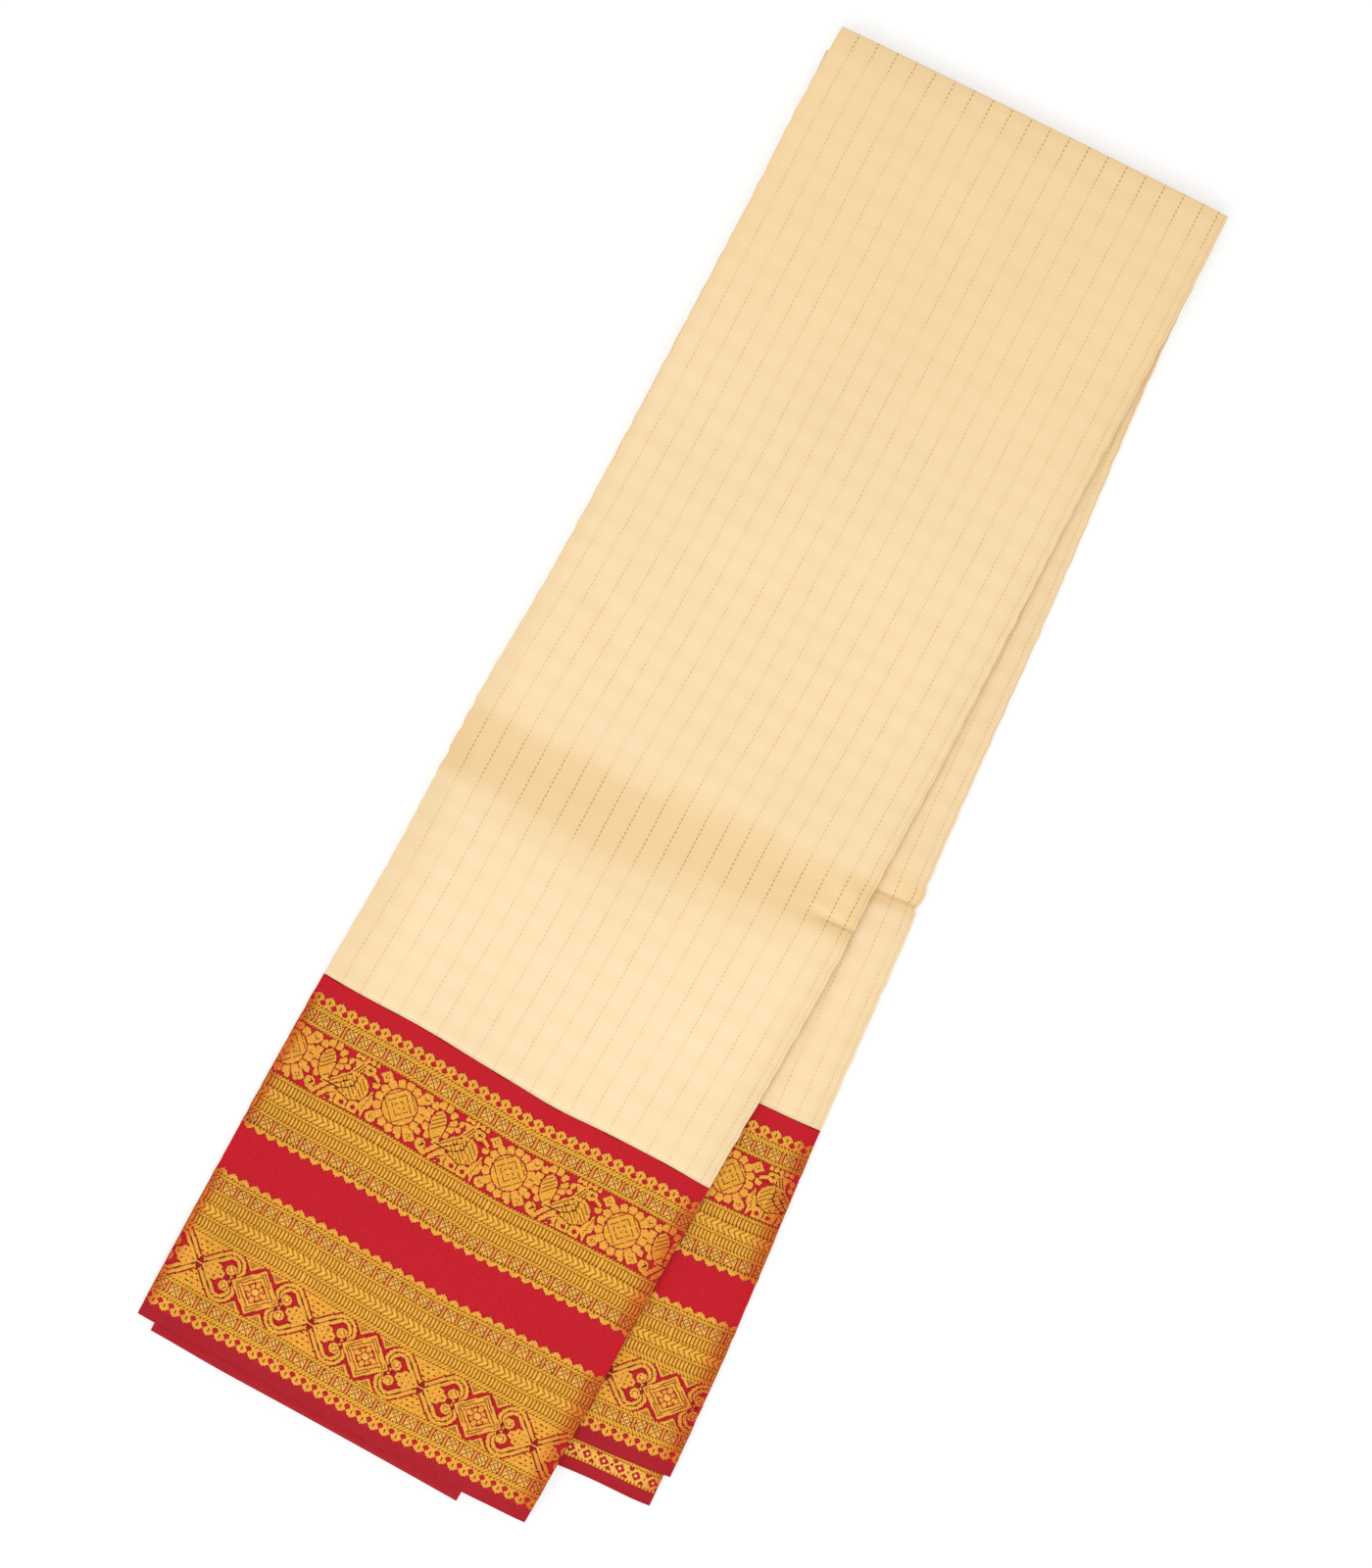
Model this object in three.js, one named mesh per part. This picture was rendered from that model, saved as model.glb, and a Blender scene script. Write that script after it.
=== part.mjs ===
// A silk sari folded for a shop shelf, lying flat: two folded bundles, fanned about one corner.
// Millimetres, +Z up. The front bundle's fold is at +Y and its hem at -Y.
//
// The cloth is one length of cream silk with a broad red border woven along one edge and a
// narrow red border along the other. It is folded in half across its width, so the fold is at
// the top and both borders lie at the hem, and then folded over and over along its length.
// Each bundle shows its top leaf (body and broad border) and, past the hem, the leaf under it
// (body and narrow border), which is the same cloth carried round the top fold. The leaves
// below are one layered block in each bundle.
import * as THREE from 'three';

// ---------------------------------------------------------------- driving dimensions
const WALL = 1.0;            // thickness of one cloth wall
const SEAM = 0.3;            // gap between neighbouring pieces
const BUNDLE_HEIGHT = 7.0;   // 16 doubled leaves of soft silk, pressed
const AIR = 0.5;             // between the side bundle and the front bundle that lies on it
const FAN_TURN = THREE.MathUtils.degToRad(4.73);   // the side bundle's swing
const LEAF_STEP = WALL + SEAM;
const BLOCK_DEPTH = 2 * LEAF_STEP + 0.15;   // the layered block starts this far under the top

// Edges of each bundle, in its own frame: x to the right and `down` from its top right corner.
const FRONT_EDGES = [
  { down: -5, left: -175.0, right: 0.0 },
  { down: 40, left: -175.8, right: 1.0 },
  { down: 135, left: -173.9, right: 2.0 },
  { down: 255, left: -173.1, right: 4.6 },
  { down: 315, left: -175.0, right: 4.9 },
  { down: 335, left: -175.6, right: 5.6 },
  { down: 386, left: -175.7, right: 5.2 },
  { down: 446, left: -175.9, right: 3.8 },
  { down: 557, left: -177.1, right: 3.4 },
  { down: 625, left: -176.3, right: 3.0 },
];
const SIDE_EDGES = [
  { down: -5, left: -177.6, right: 0.0 },
  { down: 56, left: -178.2, right: -2.2 },
  { down: 175, left: -178.6, right: -1.3 },
  { down: 295, left: -178.9, right: -1.6 },
  { down: 316, left: -178.9, right: -1.0 },
  { down: 414, left: -178.6, right: -0.9 },
  { down: 494, left: -178.2, right: 0.6 },
  { down: 590, left: -178.0, right: 0.0 },
];

// Lines across each bundle, as `down` at its left and right edge and a sag between them.
const FRONT_LINES = {
  fold: { left: 7.2, right: 0.0, sag: -0.5 },
  crease: { left: 346.0, right: 330.5, sag: 1.5 },
  join: { left: 445.3, right: 445.9, sag: 1.4 },
  hem: { left: 602.9, right: 600.9, sag: 0.6 },
  innerHem: { left: 606.6, right: 608.4, sag: -0.6 },
};
const SIDE_LINES = {
  fold: { left: 3.0, right: 1.2, sag: -0.4 },
  crease: { left: 311.0, right: 307.0, sag: 0.5 },
  join: { left: 409.0, right: 406.4, sag: 0.6 },
  hem: { left: 565.0, right: 558.7, sag: 0.0 },
  innerHem: { left: 581.0, right: 571.0, sag: 0.4 },
};

// Fractions of the way between two of those lines, closer together where the cloth bends.
const UPPER_STEPS = [0.006, 0.016, 0.03, 0.05, 0.11, 0.24, 0.38, 0.52, 0.66, 0.77, 0.85, 0.905, 0.945, 0.975, 1];
const LOWER_STEPS = [0.07, 0.17, 0.32, 0.55, 0.78, 1];
const BORDER_STEPS = [0, 0.2, 0.4, 0.55, 0.7, 0.8, 0.88, 0.95, 1];
const INNER_JOIN_STEP = 0.7;   // the narrow border starts here, on the way from join to hem
const FRONT_COLUMNS = [0, 0.015, 0.045, 0.11, 0.2, 0.3, 0.41, 0.53, 0.65, 0.76, 0.85, 0.915, 0.96, 0.987, 1];
const SIDE_COLUMNS = [0, 0.02, 0.07, 0.2, 0.4, 0.6, 0.78, 0.89, 0.95, 0.985, 1];

// How each bundle's top surface falls away and rises. A rise or fall fades over `reach`.
const FRONT_SHAPE = {
  rightFall: { amount: 2.3, reach: 15 },
  leftFall: { amount: 1.7, reach: 8 },
  foldFall: { amount: 2.0, reach: 15 },
  hemFall: { amount: 0.7, reach: 40 },
  ridge: { amount: 1.3, above: 17, below: 26 },
  trough: { amount: 0.6, above: 40, reach: 15 },
};
const SIDE_SHAPE = {
  rightFall: { amount: 2.6, reach: 14 },
  leftFall: { amount: 2.4, reach: 12 },
  foldFall: { amount: 2.2, reach: 14 },
  hemFall: { amount: 0.6, reach: 36 },
  ridge: { amount: 0.0, above: 10, below: 10 },
  trough: { amount: 0.9, above: 0, reach: 8 },
};

// Slow swells of a soft stack: one wave in each row.
const SWELLS = [
  { amount: 0.22, across: 0.021, along: 0.013, phase: 0.4 },
  { amount: 0.16, across: -0.034, along: 0.021, phase: 2.1 },
  { amount: 0.10, across: 0.012, along: 0.047, phase: 4.0 },
];

// The block's edge, from its underside to its top: every second row is a groove between two
// leaves, and each row's insets are measured from the leaf above.
const FRONT_LEAVES = [
  { level: 0.0, left: 2.2, right: 2.2, fold: 2.2, hem: 4.6 },
  { level: 0.12, left: 1.0, right: 1.1, fold: 0.8, hem: 2.9 },
  { level: 0.26, left: 1.9, right: 2.0, fold: 1.8, hem: 4.0 },
  { level: 0.38, left: 0.5, right: 0.8, fold: 0.6, hem: 1.2 },
  { level: 0.51, left: 1.7, right: 1.8, fold: 1.9, hem: 3.0 },
  { level: 0.63, left: 0.9, right: 0.4, fold: 1.1, hem: 0.4 },
  { level: 0.76, left: 1.8, right: 1.7, fold: 2.0, hem: 2.6 },
  { level: 0.88, left: 0.7, right: 0.9, fold: 1.0, hem: 1.9 },
  { level: 1.0, left: 1.9, right: 1.9, fold: 2.6, hem: 3.4 },
];
const SIDE_LEAVES = [
  { level: 0.0, left: 2.0, right: 2.1, fold: 2.0, hem: 3.9 },
  { level: 0.12, left: 0.8, right: 0.6, fold: 0.9, hem: 2.2 },
  { level: 0.26, left: 1.8, right: 1.8, fold: 1.9, hem: 3.4 },
  { level: 0.38, left: 1.1, right: 0.9, fold: 0.4, hem: 0.8 },
  { level: 0.51, left: 1.9, right: 2.0, fold: 1.7, hem: 2.9 },
  { level: 0.63, left: 0.5, right: 1.2, fold: 0.9, hem: 1.6 },
  { level: 0.76, left: 1.7, right: 1.9, fold: 1.8, hem: 3.2 },
  { level: 0.88, left: 0.9, right: 0.7, fold: 1.2, hem: 0.6 },
  { level: 1.0, left: 2.0, right: 2.2, fold: 2.7, hem: 3.0 },
];

const DROOP = { start: 6, end: 42 };   // past the side bundle's edge, the front one sinks
const INNER_REACH = 0.842;             // the front's inner leaf stops this far across
const SIDE_INNER_REACH = 0.978;
const FOLD_ARC_STEPS = 4;
// Past the other leaves an inner leaf's hem sinks, by no more than this share of its height.
const FREE_HEM = { steps: [0.5, 1], frontDrop: 1.6, sideDrop: 2.6, share: 0.85 };

const SILK = { cream: 0xf6dcae, red: 0xc22530, leaves: 0xe9cf9f, sideLeaves: 0xe2c692 };

// ---------------------------------------------------------------- plan and heights
const { clamp, lerp, smoothstep } = THREE.MathUtils;

function edgeCurve(table, column) {
  const stations = table.map((row) => row.down);
  const values = table.map((row) => row[column]);
  const curve = new THREE.CubicInterpolant(stations, values, 1);
  const first = stations[0];
  const last = stations[stations.length - 1];
  return (down) => curve.evaluate(clamp(down, first, last))[0];
}

function lineAcross(line, across) {
  return lerp(line.left, line.right, across) + line.sag * Math.sin(Math.PI * clamp(across, 0, 1));
}

function makeBundle(edges, lines, shape, turn, hemDrop) {
  return {
    lines,
    shape,
    turn,
    hemDrop,
    left: edgeCurve(edges, 'left'),
    right: edgeCurve(edges, 'right'),
  };
}

const front = makeBundle(FRONT_EDGES, FRONT_LINES, FRONT_SHAPE, 0, FREE_HEM.frontDrop);
const side = makeBundle(SIDE_EDGES, SIDE_LINES, SIDE_SHAPE, FAN_TURN, FREE_HEM.sideDrop);

// A bundle's own x and down, turned about the common corner into the model's X and Y.
function toModel(bundle, x, down) {
  const cos = Math.cos(bundle.turn);
  const sin = Math.sin(bundle.turn);
  return { x: x * cos + down * sin, y: x * sin - down * cos };
}

function fromModel(bundle, point) {
  const cos = Math.cos(bundle.turn);
  const sin = Math.sin(bundle.turn);
  return { x: point.x * cos + point.y * sin, down: point.x * sin - point.y * cos };
}

function swell(point) {
  return SWELLS.reduce(
    (sum, wave) => sum + wave.amount * Math.sin(wave.across * point.x + wave.along * point.y + wave.phase),
    0,
  );
}

function fall({ amount, reach }, distance) {
  const closeness = clamp(1 - distance / reach, 0, 1);
  return amount * closeness ** 2.2;
}

function bell(distance, reach) {
  return Math.exp(-((distance / reach) ** 2));
}

// Thickness of a bundle at a place in its own frame.
function bundleHeight(bundle, x, down) {
  const { shape, lines } = bundle;
  const left = bundle.left(down);
  const right = bundle.right(down);
  const across = clamp((x - left) / (right - left), 0, 1);
  const fromCrease = down - lineAcross(lines.crease, across);
  const ridgeReach = fromCrease < 0 ? shape.ridge.above : shape.ridge.below;
  const creaseSwing = 1 + 0.25 * Math.sin(5.5 * across + 0.8);
  return BUNDLE_HEIGHT
    + swell(toModel(bundle, x, down))
    - fall(shape.rightFall, right - x)
    - fall(shape.leftFall, x - left)
    - fall(shape.foldFall, down - lineAcross(lines.fold, across))
    - fall(shape.hemFall, lineAcross(lines.hem, across) - down)
    + creaseSwing * shape.ridge.amount * bell(fromCrease, ridgeReach)
    - creaseSwing * shape.trough.amount * bell(fromCrease + shape.trough.above, shape.trough.reach);
}

// What a bundle lies on: the floor, or for the front one the side bundle and then the floor.
function restingHeight(bundle, point) {
  if (bundle === side) return 0;
  const { x, down } = fromModel(side, point);
  const pastLeft = side.left(down) - x;
  const pastRight = x - side.right(down);
  const across = clamp((x - side.left(down)) / (side.right(down) - side.left(down)), 0, 1);
  const pastFold = lineAcross(SIDE_LINES.fold, across) - down;
  const pastHem = down - lineAcross(SIDE_LINES.innerHem, across);
  const outside = Math.hypot(Math.max(pastLeft, pastRight, 0), Math.max(pastFold, pastHem, 0));
  const support = BUNDLE_HEIGHT + swell(point) + AIR;
  return support * (1 - smoothstep(outside, DROOP.start, DROOP.end));
}

// How far a leaf sinks once it has passed the hem of the leaves around it.
function freeHemDrop(bundle, across, down, height) {
  const hem = lineAcross(bundle.lines.hem, across);
  const passed = clamp((down - hem) / (lineAcross(bundle.lines.innerHem, across) - hem), 0, 1);
  const room = height - LEAF_STEP - WALL;
  return Math.min(bundle.hemDrop, FREE_HEM.share * room) * passed ** 1.5;
}

// A point of the cloth: `across` and `down` give its place, `depth` how far under the top.
function clothPoint(bundle, across, down, depth) {
  const x = lerp(bundle.left(down), bundle.right(down), across);
  const place = toModel(bundle, x, down);
  const height = bundleHeight(bundle, x, down);
  const top = restingHeight(bundle, place) + height;
  return new THREE.Vector3(place.x, place.y, top - depth - freeHemDrop(bundle, across, down, height));
}

// ---------------------------------------------------------------- closed meshes from grids
class MeshBuilder {
  constructor() {
    this.positions = [];
    this.triangles = [];
  }

  point(vector) {
    this.positions.push(vector.x, vector.y, vector.z);
    return this.positions.length / 3 - 1;
  }

  grid(rows) {
    return rows.map((row) => row.map((vector) => this.point(vector)));
  }

  quad(a, b, c, d) {
    this.triangles.push(a, b, c, a, c, d);
  }

  surface(indices, flipped) {
    for (let i = 0; i + 1 < indices.length; i += 1) {
      for (let j = 0; j + 1 < indices[i].length; j += 1) {
        const [a, b] = [indices[i][j], indices[i][j + 1]];
        const [d, c] = [indices[i + 1][j], indices[i + 1][j + 1]];
        if (flipped) this.quad(a, d, c, b);
        else this.quad(a, b, c, d);
      }
    }
  }

  band(lower, upper) {
    for (let k = 0; k < lower.length; k += 1) {
      const next = (k + 1) % lower.length;
      this.quad(lower[k], lower[next], upper[next], upper[k]);
    }
  }

  signedVolume() {
    const corner = (index) => new THREE.Vector3().fromArray(this.positions, 3 * index);
    let volume = 0;
    for (let k = 0; k < this.triangles.length; k += 3) {
      const [a, b, c] = this.triangles.slice(k, k + 3).map(corner);
      volume += a.dot(b.cross(c)) / 6;
    }
    return volume;
  }

  geometry() {
    if (this.signedVolume() < 0) {
      for (let k = 0; k < this.triangles.length; k += 3) {
        [this.triangles[k], this.triangles[k + 1]] = [this.triangles[k + 1], this.triangles[k]];
      }
    }
    const geometry = new THREE.BufferGeometry();
    geometry.setAttribute('position', new THREE.Float32BufferAttribute(this.positions, 3));
    geometry.setIndex(this.triangles);
    geometry.computeVertexNormals();
    return geometry;
  }
}

// The boundary of a grid, once round.
function rim(indices) {
  const last = indices.length - 1;
  const end = indices[0].length - 1;
  const near = indices[0].slice(0, end);
  const right = indices.slice(0, last).map((row) => row[end]);
  const far = indices[last].slice(1).reverse();
  const left = indices.slice(1).map((row) => row[0]).reverse();
  return [...near, ...right, ...far, ...left];
}

// A wall between two matching grids of points.
function wallGeometry(outerRows, innerRows) {
  const builder = new MeshBuilder();
  const outer = builder.grid(outerRows);
  const inner = builder.grid(innerRows);
  builder.surface(outer, false);
  builder.surface(inner, true);
  builder.band(rim(inner), rim(outer));
  return builder.geometry();
}

// ---------------------------------------------------------------- stations along a bundle
function stationsBetween(lines, from, to, steps) {
  return steps.map((step) => (across) => lerp(lineAcross(lines[from], across), lineAcross(lines[to], across), step));
}

function bodyStations(lines) {
  return [
    ...stationsBetween(lines, 'fold', 'crease', UPPER_STEPS),
    ...stationsBetween(lines, 'crease', 'join', LOWER_STEPS),
  ];
}

// The same stations with the last one short of the seam by the gap there.
function shortened(stations) {
  const last = stations[stations.length - 1];
  return [...stations.slice(0, -1), (across) => last(across) - SEAM];
}

function leafRows(bundle, stations, columns, depth) {
  return stations.map((station) => columns.map((across) => clothPoint(bundle, across, station(across), depth)));
}

// The wall of one border, through stations from its join to its free hem.
function borderGeometry(bundle, stations, columns, depth) {
  const outer = leafRows(bundle, stations, columns, depth);
  const inner = leafRows(bundle, stations, columns, depth + WALL);
  return wallGeometry(outer, inner);
}

// The body of the cloth: down the top leaf's full length, round the fold, and down again
// inside to the narrow border. The fold is a half circle about a line between the two walls.
function foldedBodyGeometry(bundle, columns) {
  const { lines } = bundle;
  const top = shortened(bodyStations(lines));
  const passed = BORDER_STEPS.filter((step) => step > 0 && step <= INNER_JOIN_STEP);
  const inside = shortened([...bodyStations(lines), ...stationsBetween(lines, 'join', 'hem', passed)]);

  const outerRadius = WALL + SEAM / 2;
  const innerRadius = SEAM / 2;
  const centreStation = top[0];
  const arcRow = (angle, radius) => columns.map((across) => {
    const down = centreStation(across);
    const centre = clothPoint(bundle, across, down, outerRadius);
    const edge = clothPoint(bundle, across, down - radius * Math.sin(angle), outerRadius);
    return new THREE.Vector3(edge.x, edge.y, centre.z + radius * Math.cos(angle));
  });
  const angles = Array.from({ length: FOLD_ARC_STEPS - 1 }, (_, k) => ((k + 1) * Math.PI) / FOLD_ARC_STEPS);

  const outer = [
    ...leafRows(bundle, [...top].reverse(), columns, 0),
    ...angles.map((angle) => arcRow(angle, outerRadius)),
    ...leafRows(bundle, inside, columns, LEAF_STEP + WALL),
  ];
  const inner = [
    ...leafRows(bundle, [...top].reverse(), columns, WALL),
    ...angles.map((angle) => arcRow(angle, innerRadius)),
    ...leafRows(bundle, inside, columns, LEAF_STEP),
  ];
  return wallGeometry(outer, inner);
}

// The leaves below, as one block whose edge is layered.
function layeredBlockGeometry(bundle, columns, leaves) {
  const { lines } = bundle;
  const stations = [
    ...bodyStations(lines),
    ...stationsBetween(lines, 'join', 'hem', BORDER_STEPS.slice(1)),
  ];
  const last = stations.length - 1;

  const rowPoints = (leaf) => stations.map((station, i) => columns.map((across, j) => {
    const width = bundle.right(station(across)) - bundle.left(station(across));
    let place = across;
    if (j === 0) place = leaf.left / width;
    if (j === columns.length - 1) place = 1 - leaf.right / width;
    let down = station(place);
    if (i === 0) down = lineAcross(lines.fold, place) + leaf.fold;
    if (i === last) down = lineAcross(lines.hem, place) - leaf.hem;
    const top = clothPoint(bundle, place, down, BLOCK_DEPTH);
    const floor = restingHeight(bundle, top);
    return new THREE.Vector3(top.x, top.y, lerp(floor, top.z, leaf.level));
  }));

  const builder = new MeshBuilder();
  const underside = builder.grid(rowPoints(leaves[0]));
  const topside = builder.grid(rowPoints(leaves[leaves.length - 1]));
  const rings = leaves.slice(1, -1).map((leaf) => rim(rowPoints(leaf)).map((vector) => builder.point(vector)));
  const levels = [rim(underside), ...rings, rim(topside)];
  builder.surface(underside, true);
  builder.surface(topside, false);
  levels.slice(1).forEach((upper, k) => builder.band(levels[k], upper));
  return builder.geometry();
}

// ---------------------------------------------------------------- the pieces
function cloth(name, geometry, color, roughness) {
  const material = new THREE.MeshStandardMaterial({ color, roughness, metalness: 0 });
  const mesh = new THREE.Mesh(geometry, material);
  mesh.name = name;
  return mesh;
}

function bundlePieces(bundle, label, columns, leaves, leafColor, innerReach) {
  const innerColumns = [...columns.filter((across) => across < innerReach - 0.01), innerReach];
  const broadStations = stationsBetween(bundle.lines, 'join', 'hem', BORDER_STEPS);
  const narrowSteps = BORDER_STEPS.filter((step) => step >= INNER_JOIN_STEP);
  const narrowStations = [
    ...stationsBetween(bundle.lines, 'join', 'hem', narrowSteps),
    ...stationsBetween(bundle.lines, 'hem', 'innerHem', FREE_HEM.steps),
  ];
  const broad = borderGeometry(bundle, broadStations, columns, 0);
  const narrow = borderGeometry(bundle, narrowStations, innerColumns, LEAF_STEP);
  return [
    cloth(`${label}_body`, foldedBodyGeometry(bundle, columns), SILK.cream, 0.55),
    cloth(`${label}_broad_border`, broad, SILK.red, 0.5),
    cloth(`${label}_narrow_border`, narrow, SILK.red, 0.5),
    cloth(`${label}_hidden_layers`, layeredBlockGeometry(bundle, columns, leaves), leafColor, 0.65),
  ];
}

const sari = new THREE.Group();
sari.name = 'folded_silk_sari';
sari.add(...bundlePieces(front, 'front', FRONT_COLUMNS, FRONT_LEAVES, SILK.leaves, INNER_REACH));
sari.add(...bundlePieces(side, 'side', SIDE_COLUMNS, SIDE_LEAVES, SILK.sideLeaves, SIDE_INNER_REACH));

// The origin is at the middle of the underside.
const extent = new THREE.Box3().setFromObject(sari);
const middle = extent.getCenter(new THREE.Vector3());
sari.position.set(-middle.x, -middle.y, -extent.min.z);
sari.updateMatrixWorld(true);

export default sari;
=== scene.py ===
"""A cream silk sari with a broad red and gold border, folded and fanned, lying flat."""
import math

import bpy
import numpy as np
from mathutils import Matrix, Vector


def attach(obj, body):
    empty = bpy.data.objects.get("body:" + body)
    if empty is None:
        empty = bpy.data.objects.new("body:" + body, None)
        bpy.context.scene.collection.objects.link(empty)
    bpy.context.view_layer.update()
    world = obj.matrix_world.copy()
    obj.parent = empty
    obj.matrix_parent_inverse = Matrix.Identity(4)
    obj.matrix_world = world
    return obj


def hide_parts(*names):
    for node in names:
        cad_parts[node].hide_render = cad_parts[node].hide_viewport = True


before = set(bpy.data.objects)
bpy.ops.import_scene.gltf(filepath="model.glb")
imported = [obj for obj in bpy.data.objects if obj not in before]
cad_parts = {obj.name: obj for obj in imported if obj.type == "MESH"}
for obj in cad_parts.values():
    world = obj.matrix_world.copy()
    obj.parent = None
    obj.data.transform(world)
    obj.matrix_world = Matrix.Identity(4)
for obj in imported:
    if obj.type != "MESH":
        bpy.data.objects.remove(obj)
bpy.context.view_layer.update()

# ------------------------------------------------------------------ sizes, in millimetres
# The bundles' plan and heights are those of the solids, so each leaf lies where its node is.
METRE = 1000.0
CORNER = (65.374, 304.228)          # the front bundle's top right corner, from the origin
FAN_TURN = math.radians(4.73)
BUNDLE_HEIGHT = 7.0
AIR = 0.5
DROOP = (6.0, 42.0)                 # past the side bundle's edge the front one sinks
STRIP_WIDTH = 179.5
CLOTH = 0.4                         # thickness of one leaf
FOLD_RADIUS = 0.6                   # at the top fold, outside
INNER_DEPTH = 2 * FOLD_RADIUS       # underside of the second leaf, below the top
BLOCK_DEPTH = INNER_DEPTH + 0.15    # where the leaves below begin
CURL_RADIUS = 0.8                   # the side folds turn down with this radius
LEAF_STEP = 1.3                     # from the top leaf to the second one, in the solids
WALL = 1.0                          # the solids' cloth
HEM_SHARE = 0.85                    # how much of the room below it the hem may sink into
INNER_JOIN_STEP = 0.7               # the narrow border begins here, as a share from join to hem
INNER_SPAN = (0.04, 0.842)          # the narrow borders' ends, as shares of the way across
SIDE_INNER_SPAN = (0.0, 0.989)

CHECK_ROWS = 11.8                   # one row of the body's self check, along the strip
LINE_PITCH = 8.95                   # the zari lines' spacing, across the strip
FIRST_LINE = 7.4
LAST_LINE = 175.8
LINE_DRIFT = 1.4                    # the lines wander to the right in the upper half
DOT_HALF_WIDTH = 0.22
DOT_PITCH = 2.0                     # from one zari dot to the next along its line
DOT_LENGTH = 1.2
NEXT_FOLD = 178.8                   # where the next leaf's fold shows through, across the strip

EDGE_REACH = 0.03                   # how far in a side fold is uneven, as a share of the way
CLEAR_REACH = 11                    # how far from a crease the leaves below it lie lower
FALL_POWER = 2.2                    # how roundly a bundle falls off at its edges


def named_rows(columns, rows):
    """A table: each row with its columns' names."""
    return [dict(zip(columns, row)) for row in rows]


# Each bundle's sides, at places down the strip.
EDGE_COLUMNS = ("down", "left", "right")
FRONT_EDGES = named_rows(EDGE_COLUMNS, [
    (-5, -174.4, 0.0), (40, -175.0, 1.0), (85, -173.8, 1.5), (135, -173.2, 2.0),
    (255, -172.6, 4.6), (315, -174.6, 4.9), (335, -174.6, 5.6), (386, -173.9, 5.2),
    (446, -175.5, 3.8), (557, -176.2, 3.4), (625, -175.9, 3.0),
])
SIDE_EDGES = named_rows(EDGE_COLUMNS, [
    (-5, -176.8, 0.0), (56, -177.8, -2.2), (175, -178.6, -1.3), (295, -178.9, -1.6),
    (316, -178.9, -1.0), (414, -178.6, -0.9), (494, -178.2, 0.6), (590, -178.0, 0.0),
])
# Lines across the strip: how far down at the left, at the right, and how much more between.
FRONT_LINES = {
    "fold": (7.2, 0.0, -0.5),
    "crease": (346.0, 330.5, 1.5),
    "join": (445.3, 445.9, 1.4),
    "hem": (602.9, 600.9, 1.5),
    "inner_hem": (606.6, 608.4, -0.6),
    "crest": (352.0, 338.0, 19.0),
}
SIDE_LINES = {
    "fold": (3.0, 1.2, -0.4),
    "crease": (311.0, 307.0, 0.5),
    "join": (409.0, 406.4, 0.6),
    "hem": (565.0, 558.7, 0.0),
    "inner_hem": (581.0, 571.0, 0.4),
    "crest": (326.0, 324.0, 0.0),
}
# Where a line swings up or down: place and reach, as shares of the way across, and amount.
FRONT_WAVE = [(0.256, 0.144, -1.3), (0.611, 0.094, 1.0), (1.0, 0.067, 0.9)]
FRONT_BUMPS = {"join": FRONT_WAVE, "hem": FRONT_WAVE + [(0.86, 0.12, 1.2)]}
SIDE_BUMPS = {
    "join": [(0.80, 0.12, -1.2)], "hem": [(0.92, 0.2, 1.3)], "inner_hem": [(1.0, 0.14, 3.0)],
}
# Each bundle's height: how far it falls at an edge and from how far in; how it rises from the
# valley to the crest and sinks again over back; the crease's trough; how much the hem sinks; how
# clear of the crease the inner leaf lies; and nicks: edge, place down, reach and amount.
FRONT_SHAPE = {
    "right_fall": (2.3, 15), "left_fall": (1.5, 7), "fold_fall": (1.3, 12), "hem_fall": (0.7, 40),
    "valley": 313, "rise": (2.4, 1.2), "back": 75, "trough": (0.0, 8), "hem_drop": 1.6, "clear": 1.2,
    "nicks": [
        ("left", 320, 1.7, 0.5), ("left", 330.5, 1.6, 0.6), ("left", 342.5, 1.5, 0.7),
        ("left", 352, 2.0, 0.4), ("right", 331, 1.5, -0.6),
    ],
}
SIDE_SHAPE = {
    "right_fall": (2.6, 14), "left_fall": (2.4, 12), "fold_fall": (2.2, 14), "hem_fall": (0.6, 36),
    "valley": 309, "rise": (0.5, 0.0), "back": 45, "trough": (0.7, 5), "hem_drop": 2.6, "clear": 1.4,
    "nicks": [("right", 302, 2.2, 0.8), ("right", 308, 1.4, -1.4)],
}
# Slow swells of the height: amount, radians for each millimetre along x and along y, and phase.
SWELLS = [(0.22, 0.021, 0.013, 0.4), (0.16, -0.034, 0.021, 2.1), (0.10, 0.012, 0.047, 4.0)]

# Small creases, each listed: a soft ridge, or a trough where the rise is negative.
CREASE_COLUMNS = ("across", "down", "turn", "length", "width", "rise", "bow")
FRONT_CREASES = named_rows(CREASE_COLUMNS, [
    (0.985, 315, 14, 13, 6.0, 0.9),
    (0.955, 327.6, -3, 13, 2.2, -1.3),
    (0.960, 332.5, -3, 12, 3.0, 0.5),
    (0.02, 336, 14, 11, 5.0, -0.8),
    (0.01, 350, 10, 12, 4.5, 0.6),
    (0.50, 331, -5, 70, 1.6, 0.10),
    (0.60, 11, -2, 70, 5, -0.35),
    (0.16, 262, 38, 20, 6, -0.35, 3),
    (0.35, 44, -3, 60, 9, 0.20, 3),
    (0.72, 92, -24, 46, 12, -0.22),
    (0.30, 128, 31, 55, 13, -0.22),
    (0.62, 185, -14, 62, 15, 0.20),
    (0.24, 205, 12, 48, 10, 0.20),
    (0.84, 392, 17, 40, 10, 0.16),
    (0.30, 408, -9, 52, 9, -0.16),
    (0.55, 530, 4, 85, 10, 0.15),
    (0.62, 586, -4, 50, 6, 0.25),
    (0.93, 520, 78, 70, 5, 0.14),
])
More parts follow.
